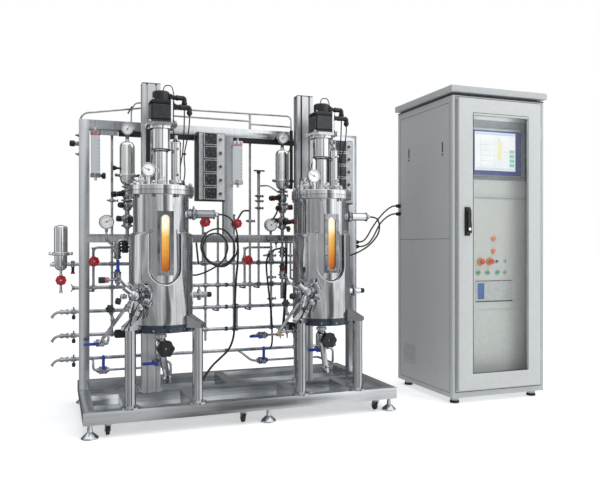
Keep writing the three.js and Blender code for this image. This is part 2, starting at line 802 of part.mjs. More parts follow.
function driveHousing() {
  const bottom = LID_TOP + GAP;
  const bore = SHAFT_OD / 2 + 4;
  const column = DRIVE_COLUMN_OD / 2;
  const cup = DRIVE_CUP_OD / 2;
  const shell = turned(
    [
      [bore, bottom],
      [column + 9, bottom],
      [column + 9, bottom + 10],
      [column, bottom + 13],
      [column, DRIVE_CUP_Z - 8],
      [cup, DRIVE_CUP_Z],
      [cup, DRIVE_TOP - 30],
      [MOTOR_FLANGE / 2 - 8, DRIVE_TOP - 26],
      [MOTOR_FLANGE / 2 - 8, DRIVE_TOP - 12],
      [bore, DRIVE_TOP - 12],
      [bore, bottom],
    ],
    MEDIUM,
  );
  const plate = plateXY(chamferedRectangle(MOTOR_FLANGE, MOTOR_FLANGE, 28), DRIVE_TOP - 14, DRIVE_TOP);
  const pilot = rod([0, 0, DRIVE_TOP - 20], [0, 0, DRIVE_TOP + 5], 2 * bore, MEDIUM);
  return cut(fuse(shell, plate), pilot);
}

// Servo motor with its encoder cap and two angled connectors on the right.
function motor() {
  const bottom = DRIVE_TOP + GAP;
  const top = bottom + MOTOR_HEIGHT;
  const body = plateXY(chamferedRectangle(MOTOR_SIZE, MOTOR_SIZE, 12), bottom, top);
  const cap = plateXY(chamferedRectangle(ENCODER_OD, ENCODER_OD, 18), top - 1, top + ENCODER_HEIGHT);
  const edge = MOTOR_SIZE / 2;
  const connector = (face, y, z, reach) =>
    fuse(
      block([face - 1.5, y - 15, z - 15], [edge + 22, y + 15, z + 15]),
      rod([edge + 20, y, z], [edge + reach, y, z - 8], 25, SMALL),
      rod([edge + reach - 8, y, z + 4], [edge + reach + 4, y, z - 34], 22, SMALL),
    );
  return fuse(body, cap, connector(ENCODER_OD / 2, -6, top + 22, 62), connector(edge, -20, top - 24, 84));
}

// The shaft with two six-bladed paddle impellers.
function agitator() {
  const shaft = rod([0, 0, SHAFT_BOTTOM], [0, 0, DRIVE_TOP - 30], SHAFT_OD, SMALL);
  const star = new THREE.Shape();
  const hub = 14;
  const tip = IMPELLER_OD / 2;
  const half = 1.5; // half of a blade's thickness
  for (let i = 0; i < 6; i += 1) {
    const angle = (Math.PI / 3) * i;
    const corner = (along, across) => [
      along * Math.cos(angle) - across * Math.sin(angle),
      along * Math.sin(angle) + across * Math.cos(angle),
    ];
    if (i === 0) star.moveTo(...corner(hub, -half));
    else star.lineTo(...corner(hub, -half));
    star.lineTo(...corner(tip, -half));
    star.lineTo(...corner(tip, half));
    star.lineTo(...corner(hub, half));
  }
  star.closePath();
  const impellers = [SHAFT_BOTTOM + 30, SHAFT_BOTTOM + 210].map((z) => plateXY(star, z - 10, z + 10));
  return fuse(shaft, impellers);
}

// ---------------------------------------------------------------- lift column

// Aluminium profile with T-slots: two on its front and back, one on each side.
function liftColumn() {
  const w = COLUMN_WIDTH / 2;
  const d = COLUMN_DEPTH / 2;
  const neck = 5;
  const head = 9;
  const lip = 5;
  const depth = 12;
  // A T-slot's outline in its own frame: x along the face, y into the metal.
  const slot = [
    [-neck, 0],
    [-neck, lip],
    [-head, lip],
    [-head, depth],
    [head, depth],
    [head, lip],
    [neck, lip],
    [neck, 0],
  ];
  const outline = [];
  const side = (cx, cy, ux, uy, at) => {
    for (const s of at) {
      for (const [along, into] of slot) {
        outline.push([cx + ux * (s + along) - uy * into, cy + uy * (s + along) + ux * into]);
      }
    }
  };
  outline.push([-w, -d]);
  side(0, -d, 1, 0, [-w / 2, w / 2]);
  outline.push([w, -d]);
  side(w, 0, 0, 1, [0]);
  outline.push([w, d]);
  side(0, d, -1, 0, [-w / 2, w / 2]);
  outline.push([-w, d]);
  side(-w, 0, 0, -1, [0]);
  const shape = new THREE.Shape(outline.map(([x, y]) => new THREE.Vector2(x, y)));
  const profile = plateXY(shape, DECK + GAP, COLUMN_TOP);
  const base = block([-w - 12, -d + 22, DECK + GAP], [w + 12, d - 1, DECK + GAP + 10]);
  const clip = gland([w - 2, 10, PROBE_CLIP_Z], [1, 0, 0], 16);
  return fuse(profile, base, clip);
}

const PROBE_CLIP_Z = 780;

// ---------------------------------------------------------------- pipework

const rowZ = (row) => ROW_Z + ROW_PITCH * row;

// A globe valve's body on an upright pipe, with its stem to the front.
const STEM_REACH = PIPE_Y - 474;
const WHEEL_STEM_OD = 9;

function globeValve(x, z) {
  const body = rod([x, PIPE_Y, z - 16], [x, PIPE_Y, z + 16], 32);
  return fuse(body, rod([x, PIPE_Y, z], [x, PIPE_Y - STEM_REACH, z], WHEEL_STEM_OD));
}

// A ball valve's body along X or Z, with its short stem to the front.
const BALL_STEM = 26;
const LEVER_STEM_OD = 10;

function ballValve([x, y, z], upright) {
  const run = upright ? [0, 0, 1] : [1, 0, 0];
  const start = [x - 30 * run[0], y, z - 30 * run[2]];
  const body = turned(
    [
      [0, 0],
      [13, 0],
      [13, 14],
      [17, 20],
      [17, 40],
      [13, 46],
      [13, 60],
      [0, 60],
    ],
    COARSE,
    start,
    run,
  );
  return fuse(body, rod([x, y, z], [x, y - BALL_STEM, z], LEVER_STEM_OD));
}

// Where the handwheels and levers sit. The last two valves lie under the vessels, before the lift columns.
const UNDER_Y = 240;
const CENTRE_RISER_X = MID_UPRIGHT_X + FRAME_TUBE + 20;
const HANDWHEELS = [
  ["steam_filter", STEAM_FILTER_X, 682],
  ["left", 72, 775],
  ["centre_left", 647, 983],
  ["centre_right", CENTRE_RISER_X, 977],
  ["centre_low", 884, 775],
];
const LEVERS = [
  ["left_upper", [185, BRANCH_Y, 702], true, 90],
  ["left_middle", [100, BRANCH_Y, 361], false, 180],
  ["left_low", [114, BRANCH_Y, 222], false, 90],
  ["centre_middle", [959, BRANCH_Y, 361], false, 180],
  ["centre_low", [959, BRANCH_Y, 222], false, 90],
  ["under_a", [360, UNDER_Y, 285], false, 180],
  ["under_b", [1215, UNDER_Y, 305], false, 180],
];

function processPipework() {
  const header = (row) => rod([ROW_LEFT, PIPE_Y, rowZ(row)], [ROW_RIGHT, PIPE_Y, rowZ(row)], PIPE_OD);
  const headers = Array.from({ length: ROWS }, (_, row) => header(row));
  // Uprights between a low row and a height, beside the vessels and between them.
  const riser = ([x, z0, z1]) => rod([x, PIPE_Y, z0], [x, PIPE_Y, z1], BRANCH_OD);
  const top = MID_BEAM_Z + MID_BEAM_HEIGHT;
  const risers = [
    [661, rowZ(0) + 60, top + 14],
    [731, rowZ(2), top + 120],
    [775, rowZ(4), top + 20],
    [838, rowZ(1) - 14, rowZ(2)],
    [VENT_RISER_X, rowZ(2), VENT_Z],
    [966, rowZ(3), 1130],
    [1040, rowZ(1), rowZ(4) + 90],
    [72, rowZ(3), 846],
    [884, rowZ(3), 846],
    [CENTRE_RISER_X, rowZ(1), 1030],
    [165, rowZ(1), FRAME_TOP - 60],
    ...VESSEL_XS.map((x) => [x, rowZ(0), rowZ(1)]),
  ].map(riser);
  const wheelValves = HANDWHEELS.slice(1).map(([, x, z]) => globeValve(x, z));
  // The centre left handwheel's valve stands on its own short riser.
  const shortRiser = rod([647, PIPE_Y, rowZ(4)], [647, PIPE_Y, 1010], BRANCH_OD);
  const bends = [
    [[72, PIPE_Y, 846], [165, PIPE_Y, 846]],
    [[884, PIPE_Y, 846], [1040, PIPE_Y, 846]],
  ].map((points) => pipe(points, BRANCH_OD));
  return fuse(
    headers,
    risers,
    wheelValves,
    shortRiser,
    bends,
    ventLines(),
    frontBranches(),
    beamGauges(),
    hoseInlets(),
    saddles(),
  );
}

// Exhaust lines above the back frame: they fall from the lift columns to the left upright and to one riser.
const VENT_RISER_X = 915;

function ventLines() {
  const left = -VENT_OD;
  const right = VESSEL_B_X + COLUMN_OFFSET_X;
  const shoulder = FRAME_TOP + 40;
  return [
    [
      [left, PIPE_Y, rowZ(ROWS - 1)],
      [left, PIPE_Y, FRAME_TOP + 10],
      [left + 34, PIPE_Y, shoulder],
      [VESSEL_A_X, PIPE_Y, VENT_Z - 6],
      [right, PIPE_Y, VENT_Z],
      [right, PIPE_Y, FRAME_TOP - 90],
      [right - 40, PIPE_Y, FRAME_TOP - 130],
    ],
    [
      [VESSEL_A_X, PIPE_Y, VENT_Z - 42],
      [VENT_RISER_X, PIPE_Y, VENT_Z - 44],
    ],
    [
      [VENT_RISER_X, PIPE_Y, VENT_Z - 60],
      [right, PIPE_Y, VENT_Z - 62],
    ],
    [
      [VESSEL_A_X, PIPE_Y, VENT_Z - 6],
      [VESSEL_A_X, PIPE_Y, VENT_Z - 42],
    ],
  ].map((points) => pipe(points, VENT_OD));
}

// Pressure gauges before the middle beam, each on a siphon from a front branch.
const BEAM_GAUGE_OD = 74;

function beamGauges() {
  const gauge = ([x, z], [branchX, branchZ]) => {
    const dial = turned(
      [
        [0, 0],
        [BEAM_GAUGE_OD / 2 - 3, 0],
        [BEAM_GAUGE_OD / 2, 4],
        [BEAM_GAUGE_OD / 2, 26],
        [0, 26],
      ],
      MEDIUM,
      [x, BRANCH_Y + 8, z],
      [0, -1, 0],
    );
    const siphon = pipe(
      [
        [x, BRANCH_Y, z - BEAM_GAUGE_OD / 2 + 4],
        [x, BRANCH_Y, z - BEAM_GAUGE_OD],
        [branchX, BRANCH_Y, branchZ + 30],
        [branchX, BRANCH_Y, branchZ],
      ],
      VENT_OD,
    );
    return fuse(dial, siphon);
  };
  return [gauge([130, 976], [185, 790]), gauge([1005, 970], [FILTER_B_X, 820])];
}

// Saddles clamp the headers to the left upright's back and two risers to the middle beam.
function saddles() {
  const front = FRAME_BACK + GAP;
  const beam = MID_BEAM_Z + MID_BEAM_HEIGHT / 2;
  const onUpright = Array.from({ length: ROWS }, (_, row) =>
    block([10, front, rowZ(row) - 6], [FRAME_TUBE - 10, PIPE_Y, rowZ(row) + 6]),
  );
  const onBeam = [165, VENT_RISER_X].map((x) => block([x - 5, front, beam - 14], [x + 5, PIPE_Y, beam + 14]));
  return [...onUpright, ...onBeam];
}

// Branches that come forward past the back frame to the ball valves and below the vessels.
function frontBranches() {
  const runs = [
    [[66, PIPE_Y, rowZ(0)], [66, BRANCH_Y, rowZ(0)], [66, BRANCH_Y, 222], [421, BRANCH_Y, 222]],
    [[840, PIPE_Y, rowZ(0)], [840, BRANCH_Y, rowZ(0)], [900, BRANCH_Y, 222], [1290, BRANCH_Y, 222]],
    [[140, PIPE_Y, rowZ(1)], [140, BRANCH_Y, rowZ(1)], [140, BRANCH_Y, 361], [72, BRANCH_Y, 361]],
    [[1058, PIPE_Y, rowZ(1)], [1058, BRANCH_Y, rowZ(1)], [1058, BRANCH_Y, 361], [900, BRANCH_Y, 361]],
    [[185, PIPE_Y, rowZ(3)], [185, BRANCH_Y, rowZ(3)], [185, BRANCH_Y, 800], [FILTER_A_X, BRANCH_Y, 800],
      [FILTER_A_X, BRANCH_Y, STACK_BOTTOM - GAP]],
    [[FILTER_B_X, PIPE_Y, rowZ(3)], [FILTER_B_X, BRANCH_Y, rowZ(3)], [FILTER_B_X, BRANCH_Y, STACK_BOTTOM - GAP]],
    [[421, BRANCH_Y, 222], [421, UNDER_Y, 222], [421, UNDER_Y, 285], [332, UNDER_Y, 285]],
    [[1290, BRANCH_Y, 222], [1290, UNDER_Y, 222], [1290, UNDER_Y, 305], [1186, UNDER_Y, 305]],
  ].map((points) => pipe(points, BRANCH_OD));
  return fuse(runs, LEVERS.map(([, at, upright]) => ballValve(at, upright)));
}

// The three hose inlets at the left: a union, a cross handle and a hose tail that droops outwards.
function hoseInlets() {
  const inlet = (row) => {
    const z = rowZ(row);
    const union = turned(clampProfile(12, 0, 40, 20), COARSE, [ROW_LEFT + 4, PIPE_Y, z], [-1, 0, 0]);
    const tail = pipe([[ROW_LEFT - 34, PIPE_Y, z], [ROW_LEFT - 56, PIPE_Y, z - 6], [ROW_LEFT - 76, PIPE_Y, z - 26]], 13);
    return fuse(union, tail, rod([-24, PIPE_Y, z - 34], [-24, PIPE_Y, z + 22], 10));
  };
  return [0, 1, 2].map(inlet);
}

function handwheel() {
  const r = HANDWHEEL_OD / 2;
  const bore = boreRadius(WHEEL_STEM_OD, COARSE);
  const rim = turned(
    [
      [r - 7, -4],
      [r, 0],
      [r - 7, 4],
      [r - 7, -4],
    ],
    MEDIUM,
    [0, 0, 0],
    [0, 1, 0],
  );
  const hub = turned(
    [
      [bore, -7],
      [10, -7],
      [10, 7],
      [bore, 7],
      [bore, -7],
    ],
    COARSE,
    [0, 0, 0],
    [0, 1, 0],
  );
  const web = [0, 120, 240].map((angle) => block([8, -2, -3.5], [r - 5, 2, 3.5]).rotate([0, angle, 0]));
  return fuse(rim, hub, web);
}

// A sleeved lever blade: the pivot end is cranked over the stem's end.
function lever() {
  const bore = boreRadius(LEVER_STEM_OD, COARSE);
  const grip = plateXZ(roundedBar(8, LEVER_LENGTH, 7.5), -9, -3, 4);
  const eye = turned(
    [
      [bore, -6],
      [11, -6],
      [11, 6],
      [bore, 6],
      [bore, -6],
    ],
    COARSE,
    [0, 0, 0],
    [0, 1, 0],
  );
  return fuse(cut(grip, rod([0, -20, 0], [0, 20, 0], 2 * bore, COARSE)), eye);
}

// A bar along +X with a round far end.
function roundedBar(start, end, r) {
  const shape = new THREE.Shape();
  shape.moveTo(start, -r);
  shape.lineTo(end - r, -r);
  shape.absarc(end - r, 0, r, -Math.PI / 2, Math.PI / 2, false);
  shape.lineTo(start, r);
  shape.closePath();
  return shape;
}

function valveHandles() {
  const wheel = handwheel();
  const blade = lever();
  const wheelY = PIPE_Y - STEM_REACH;
  const wheels = HANDWHEELS.map(([name, x, z]) => piece("handwheel_" + name, wheel, redPlastic, [x, wheelY, z]));
  const levers = LEVERS.map(([name, [x, y, z], , angle]) => {
    const mesh = piece("valve_lever_" + name, blade.rotate([0, -angle, 0]), blueSleeve, [x, y - BALL_STEM, z]);
    return mesh;
  });
  return [...wheels, ...levers];
}

// ---------------------------------------------------------------- filters

const STACK_BOTTOM = 905;
const FILTER_BOTTOM = 1180;
const FILTER_TOP = 1388;

// A filter housing: a domed bell clamped to its base, standing on a stack of valves.
function airFilter() {
  const r = FILTER_OD / 2;
  const bell = [
    [0, STACK_BOTTOM],
    [BRANCH_OD / 2, STACK_BOTTOM],
    [BRANCH_OD / 2, FILTER_BOTTOM - 60],
    [12, FILTER_BOTTOM - 50],
    [12, FILTER_BOTTOM - 20],
    [r - 6, FILTER_BOTTOM + 10],
    [r - 2, FILTER_BOTTOM + 26],
    [r + 9, FILTER_BOTTOM + 30],
    [r + 9, FILTER_BOTTOM + 42],
    [r, FILTER_BOTTOM + 46],
    [r, FILTER_TOP - 26],
    [r - 10, FILTER_TOP - 8],
    [10, FILTER_TOP],
    [6, FILTER_TOP + 14],
    [0, FILTER_TOP + 14],
  ];
  const valve = (z, side) =>
    fuse(
      rod([0, 0, z - 22], [0, 0, z + 22], 42, SMALL),
      rod([0, 0, z], [side * 58, -22, z + 8], 16),
      rod([side * 54, -20, z + 7], [side * 84, -32, z + 12], 27, SMALL),
    );
  const gauge = turned(
    [
      [0, 0],
      [GAUGE_OD / 2 - 4, 0],
      [GAUGE_OD / 2 - 4, 24],
      [0, 24],
    ],
    MEDIUM,
    [0, 12, FILTER_TOP + 66],
    [0, -1, 0],
  );
  const neck = rod([0, 0, FILTER_TOP + 8], [0, 0, FILTER_TOP + 60], 12);
  return fuse(turned(bell, MEDIUM), valve(1060, -1), valve(985, 1), gauge, neck);
}

function steamFilter() {
  const r = STEAM_FILTER_OD / 2;
  const z0 = 735;
  const z1 = 961;
  const bell = turned(
    [
      [0, 613],
      [BRANCH_OD / 2, 613],
      [BRANCH_OD / 2, z0 - 4],
      [r - 12, z0],
      [r - 2, z0 + 14],
      [r - 2, z0 + 70],
      [r + 11, z0 + 74],
      [r + 11, z0 + 84],
      [r, z0 + 88],
      [r, z1 - 14],
      [8, z1 - 2],
      [0, z1],
    ],
    MEDIUM,
    [STEAM_FILTER_X, PIPE_Y, 0],
  );
  const inlet = rod([STEAM_FILTER_X - r - 20, PIPE_Y, rowZ(4)], [STEAM_FILTER_X, PIPE_Y, rowZ(4)], PIPE_OD);
  return cut(fuse(bell, inlet, globeValve(STEAM_FILTER_X, 682)), steamFilterSocket());
}

// The header's end runs into the filter's outlet with a seating clearance.
function steamFilterSocket() {
  return rod([ROW_LEFT - GAP, PIPE_Y, rowZ(4)], [0, PIPE_Y, rowZ(4)], PIPE_OD + 2 * GAP);
}

// ---------------------------------------------------------------- pump panels

// A rack of five pump drives: its right column carries the knobs, and its back is fixed beside an upright.
function pumpPanel() {
  const back = FRAME_Y - GAP;
  const rack = block([0, PANEL_FRONT, PANEL_BOTTOM], [PANEL_WIDTH, back, PANEL_TOP]);
  const ear = block(
    [PANEL_WIDTH - 1, back - 12, PANEL_BOTTOM + 20],
    [PANEL_WIDTH + PANEL_SEAT - GAP, FRAME_Y + 40, PANEL_TOP - 20],
  );
  const pitch = (PANEL_TOP - PANEL_BOTTOM) / 5;
  const heads = Array.from({ length: 5 }, (_, i) => {
    const z = PANEL_BOTTOM + pitch * (i + 0.5);
    return fuse(
      block([34, PANEL_FRONT - 22, z - 27], [96, PANEL_FRONT + 1, z + 27]),
      rod([122, PANEL_FRONT - 12, z], [122, PANEL_FRONT + 1, z], 13),
    );
  });
  return fuse(rack, ear, heads);
}

const PANEL_SEAT = 17; // from the rack's side to the upright that carries it

// ---------------------------------------------------------------- cabinet

const CABINET_RIGHT = CABINET_X + CABINET_WIDTH;
const DOOR_X0 = CABINET_X + DOOR_LEFT;
const DOOR_X1 = CABINET_RIGHT - DOOR_RIGHT;
const DOOR_Y0 = -DOOR_REVEAL - DOOR_THICKNESS;
const HINGE_X = DOOR_X1 + 6;
const HINGE_Y = -DOOR_REVEAL - DOOR_THICKNESS / 2;
const CABINET_GLANDS = [
  [CABINET_DEPTH - 23, 1100],
  [CABINET_DEPTH - 23, 1051],
];

function cabinetBody() {
  const front = 0;
  const shell = block([CABINET_X, front, CABINET_FOOT], [CABINET_RIGHT, CABINET_DEPTH, CABINET_TOP]);
  const hollow = block(
    [CABINET_X + DOOR_LEFT + 8, front - 5, DOOR_BOTTOM + 8],
    [CABINET_RIGHT - DOOR_RIGHT - 8, CABINET_DEPTH - CABINET_WALL, DOOR_TOP - 8],
  );
  const neck = block(
    [CABINET_X + 24, 24, CABINET_TOP - 1],
    [CABINET_RIGHT - 24, CABINET_DEPTH - 24, CABINET_TOP + ROOF_NECK + 1],
  );
  const roof = block(
    [CABINET_X - ROOF_OVERHANG, front - ROOF_OVERHANG, CABINET_TOP + ROOF_NECK],
    [CABINET_RIGHT + ROOF_OVERHANG, CABINET_DEPTH + ROOF_OVERHANG, CABINET_TOP + ROOF_NECK + ROOF_THICKNESS],
  );
  const feet = [CABINET_X + 45, CABINET_RIGHT - 45].flatMap((x) =>
    [50, CABINET_DEPTH - 50].map((y) => rod([x, y, 0], [x, y, CABINET_FOOT + 1], 46, SMALL)),
  );
  const barrels = [DOOR_BOTTOM + 130, DOOR_TOP - 190].map((z) =>
    fuse(
      rod([HINGE_X, HINGE_Y, z], [HINGE_X, HINGE_Y, z + 60], 10.8, SMALL),
      block([HINGE_X - 2, HINGE_Y, z], [HINGE_X + 5, 1, z + 60]),
    ),
  );
  const glands = CABINET_GLANDS.map(([y, z]) => gland([CABINET_X + 1, y, z], [-1, 0, 0], GLAND_LENGTH + 1));
  return fuse(cut(shell, hollow), neck, roof, feet, barrels, glands);
}

const MONITOR_BODY_INSET = 14;

function controlPanel() {
  const y0 = CONTROL_PANEL_Y;
  const y1 = y0 + CONTROL_PANEL_THICKNESS;
  const side = DOOR_LEFT + 8 + GAP;
  const plate = block(
    [CABINET_X + side, y0, DOOR_BOTTOM + 8 + GAP],
    [CABINET_RIGHT - DOOR_RIGHT - 8 - GAP, y1, DOOR_TOP - 8 - GAP],
  );
  const inset = MONITOR_BODY_INSET - 1;
  const monitorHole = block(
    [MONITOR_CENTRE_X - MONITOR_WIDTH / 2 + inset, y0 - 5, MONITOR_CENTRE_Z - MONITOR_HEIGHT / 2 + inset],
    [MONITOR_CENTRE_X + MONITOR_WIDTH / 2 - inset, y1 + 5, MONITOR_CENTRE_Z + MONITOR_HEIGHT / 2 - inset],
  );
  const collars = STOP_BUTTON_XS.map((x) => rod([x, y0 - 6, STOP_BUTTON_Z], [x, y0 + 1, STOP_BUTTON_Z], 40, MEDIUM));
  const holes = STOP_BUTTON_XS.map((x) =>
    rod([x, y0 - 10, STOP_BUTTON_Z], [x, y1 + 5, STOP_BUTTON_Z], 2 * boreRadius(STOP_STEM_OD, SMALL), SMALL),
  );
  return cut(fuse(plate, collars), monitorHole, holes);
}

function monitor() {
  const y = CONTROL_PANEL_Y - GAP;
  const w = MONITOR_WIDTH / 2;
  const h = MONITOR_HEIGHT / 2;
  const inset = MONITOR_BODY_INSET;
  const bezel = block([-w, y - 12, -h], [w, y, h]);
  const screen = block([-w + 16, y - 20, -h + 16], [w - 16, y - 10, h - 16]);
  const body = block([-w + inset, y - 1, -h + inset], [w - inset, y + 46, h - inset]);
  return fuse(cut(bezel, screen), body);
}

const STOP_STEM_OD = 14;

// A mushroom-headed stop button on its stem.
function stopButton() {
  const r = STOP_BUTTON_OD / 2;
  const profile = [
    [0, 0],
    [STOP_STEM_OD / 2, 0],
    [STOP_STEM_OD / 2, 30],
    [r - 3, 31],
    [r, 35],
    [r, 39],
    [r - 6, 44],
    [0, 46],
  ];
  return turned(profile, SMALL, [0, CONTROL_PANEL_Y + 14, 0], [0, -1, 0]);
}

// The door about its hinge line: a welded frame with a rebate behind for the pane.
function doorFrame() {
  const x0 = DOOR_X0 - HINGE_X;
  const x1 = DOOR_X1 - HINGE_X;
  const y0 = DOOR_Y0 - HINGE_Y;
  const y1 = y0 + DOOR_THICKNESS;
  const frame = block([x0, y0, DOOR_BOTTOM], [x1, y1, DOOR_TOP]);
  const opening = block([x0 + DOOR_STILE, y0 - 5, DOOR_BOTTOM + DOOR_RAIL], [x1 - DOOR_STILE, y1 + 5, DOOR_TOP - DOOR_RAIL]);
  const r = PANE_REBATE;
  const rebate = block(
    [x0 + DOOR_STILE - r, y1 - PANE_THICKNESS - 2, DOOR_BOTTOM + DOOR_RAIL - r],
    [x1 - DOOR_STILE + r, y1 + 5, DOOR_TOP - DOOR_RAIL + r],
  );
  return cut(frame, opening, rebate);
}

function doorPane() {
  const x0 = DOOR_X0 - HINGE_X + DOOR_STILE - PANE_REBATE + GAP;
  const x1 = DOOR_X1 - HINGE_X - DOOR_STILE + PANE_REBATE - GAP;
  const y1 = DOOR_Y0 - HINGE_Y + DOOR_THICKNESS - 2 + GAP;
  const z0 = DOOR_BOTTOM + DOOR_RAIL - PANE_REBATE + GAP;
  const z1 = DOOR_TOP - DOOR_RAIL + PANE_REBATE - GAP;
  return block([x0, y1 - PANE_THICKNESS, z0], [x1, y1, z1]);
}

const HANDLE_X = DOOR_X0 + 51;
const HANDLE_Z = 934;

// The swing handle about the axis of its lower end.
function doorHandle() {
  const plate = plateXZ(slotShape(30, -16, 124), -16, -GAP, 5);
  const grip = plateXZ(slotShape(20, -4, 112), -24, -12, 4);
  return fuse(plate, grip);
}

// ---------------------------------------------------------------- cables

// A cable through hand-chosen points.
function cable(points, diameter, steps) {
  const path = new THREE.CatmullRomCurve3(points.map((p) => new THREE.Vector3(...p)), false, "centripetal");
  const section = new THREE.Shape();
  section.absarc(0, 0, diameter / 2, 0, 2 * Math.PI, false);
  return solid(new THREE.ExtrudeGeometry(section, { steps, extrudePath: path, curveSegments: 4 }));
}

const CABINET_CABLE_UPPER = [
  [1860.7, 577, 1100],
  [1848, 577, 1100],
  [1812, 577, 1089],
  [1745, 575, 1030],
  [1680, 560, 958],
  [1642, 540, 910],
  [1612, 520, 886],
  [1584, 515.6, 876.6],
  [1572.3, 515, 876],
];
const CABINET_CABLE_LOWER = [
  [1860.7, 577, 1051],
  [1848, 577, 1051],
  [1812, 577, 1043],
  [1750, 573, 1000],
  [1690, 555, 902],
  [1640, 530, 860],
  [1606, 517, 851],
  [1586, 515, 850],
  [1572.3, 515, 850],
];
const PROBE_CABLE_B = [
  [276.3, 0, 1008],
  [290, 0, 1008],
  [310, 3, 1001],
  [330, 14, 972],
  [340, 44, 900],
  [312, 98, 836],
  [230, 155, 800],
  [140, 199, 785],
  [86, 221, 780],
  [62, 225, 780],
  [39.3, 225, 780],
];
const PROBE_CABLE_A = [
  [276.3, 0, 1008],
  [290, 0, 1008],
  [312, 2, 1000],
  [340, 9, 962],
  [382, 22, 885],
  [382, 34, 800],
  [320, 44, 745],
  [235, 48, 772],
  [200, 50, 850],
  [236, 54, 922],
  [310, 58, 938],
  [370, 64, 880],
  [372, 72, 802],
  [310, 80, 755],
  [240, 86, 790],
  [220, 90, 850],
  [250, 96, 908],
  [312, 102, 912],
  [352, 110, 855],
  [330, 120, 780],
  [262, 134, 730],
  [190, 154, 706],
  [130, 184, 728],
  [84, 216, 770],
  [60, 225, 780],
  [39.3, 225, 780],
];

// ---------------------------------------------------------------- assembly

function station(letter, x) {
  const group = new THREE.Group();
  group.position.set(x, VESSEL_Y, 0);
  const valve = new THREE.Group();
  valve.rotation.z = THREE.MathUtils.degToRad(DRAIN_TURN);
  valve.add(
    piece("drain_valve_" + letter, shared.drainValve, brushed),
    piece("drain_knob_" + letter, shared.drainKnob, blackRubber, [0, -DRAIN_KNOB_FACE + 2, DRAIN_Z]),
  );
  group.add(
    piece("vessel_" + letter, shared.vessel, stainless),
    piece("sight_glass_" + letter, shared.sightGlass, brothGlass),
    piece("lid_" + letter, shared.lid, stainless),
    piece("drive_housing_" + letter, shared.driveHousing, stainless),
    piece("drive_motor_" + letter, shared.motor, blackPaint),
    piece("agitator_" + letter, shared.agitator, stainless),
    piece("lift_column_" + letter, shared.liftColumn, aluminium, [
      COLUMN_OFFSET_X,
      COLUMN_Y + COLUMN_DEPTH / 2 - VESSEL_Y,
      0,
    ]),
    valve,
  );
  return group;
}

function cabinet() {
  const group = new THREE.Group();
  const door = new THREE.Group();
  door.position.set(HINGE_X, HINGE_Y, 0);
  door.add(
    piece("door_frame", doorFrame(), greyPaint),
    piece("door_glass", doorPane(), clearGlass),
    piece("door_handle", doorHandle(), blackPaint, [HANDLE_X - HINGE_X, DOOR_Y0 - HINGE_Y, HANDLE_Z]),
  );
  group.add(
    piece("cabinet_body", cabinetBody(), greyPaint),
    piece("control_panel", controlPanel(), greyPaint),
    piece("monitor", monitor(), screenBlue, [MONITOR_CENTRE_X, 0, MONITOR_CENTRE_Z]),
    door,
  );
  STOP_BUTTON_XS.forEach((x, i) => {
    group.add(piece("stop_button_" + (i + 1), shared.stopButton, redPlastic, [x, 0, STOP_BUTTON_Z]));
  });
  return group;
}

const shared = {
  vessel: vessel(),
  sightGlass: sightGlass(),
  drainValve: drainValve(),
  drainKnob: drainKnob(),
  lid: lid(),
  driveHousing: driveHousing(),
  motor: motor(),
  agitator: agitator(),
  liftColumn: liftColumn(),
  airFilter: airFilter(),
  pumpPanel: pumpPanel(),
  stopButton: stopButton(),
};

const bioreactor = new THREE.Group();
bioreactor.add(
  piece("base_frame", baseFrame(), stainless),
  ...casters(),
  piece("back_frame", backFrame(), brushed),
  piece("process_pipework", processPipework(), brushed),
  ...valveHandles(),
  piece("steam_filter", steamFilter(), stainless),
  piece("air_filter_a", shared.airFilter, stainless, [FILTER_A_X, BRANCH_Y, 0]),
  piece("air_filter_b", shared.airFilter, stainless, [FILTER_B_X, BRANCH_Y, 0]),
  piece("pump_panel_a", shared.pumpPanel, panelGrey, [MID_UPRIGHT_X - PANEL_WIDTH - PANEL_SEAT, 0, 0]),
  piece("pump_panel_b", shared.pumpPanel, panelGrey, [
    BASE_LENGTH - FRAME_TUBE - PANEL_WIDTH - PANEL_SEAT,
    0,
    0,
  ]),
  ...LETTERS.map((letter, i) => station(letter, VESSEL_XS[i])),
  cabinet(),
);

// The cables lie between the pieces that hold their glands, so they take no part in the origin.
const cables = new THREE.Group();
cables.add(
  piece("cabinet_cable_upper", cable(CABINET_CABLE_UPPER, CABINET_CABLE_OD, 16), blackRubber),
  piece("cabinet_cable_lower", cable(CABINET_CABLE_LOWER, CABINET_CABLE_OD, 16), blackRubber),
  piece("probe_cable_a", cable(PROBE_CABLE_A, PROBE_CABLE_OD, 60), blackRubber, [VESSEL_A_X, VESSEL_Y, 0]),
  piece("probe_cable_b", cable(PROBE_CABLE_B, PROBE_CABLE_OD, 22), blackRubber, [VESSEL_B_X, VESSEL_Y, 0]),
);

// The origin is on the floor under the middle of the whole, to the nearest half millimetre.
const centre = new THREE.Box3().setFromObject(bioreactor).getCenter(new THREE.Vector3());
const toHalf = (value) => Math.round(value * 2) / 2;
const part = new THREE.Group();
part.position.set(-toHalf(centre.x), -toHalf(centre.y), 0);
part.add(bioreactor, cables);

export default part;
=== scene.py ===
from math import cos, pi, radians, sin, sqrt

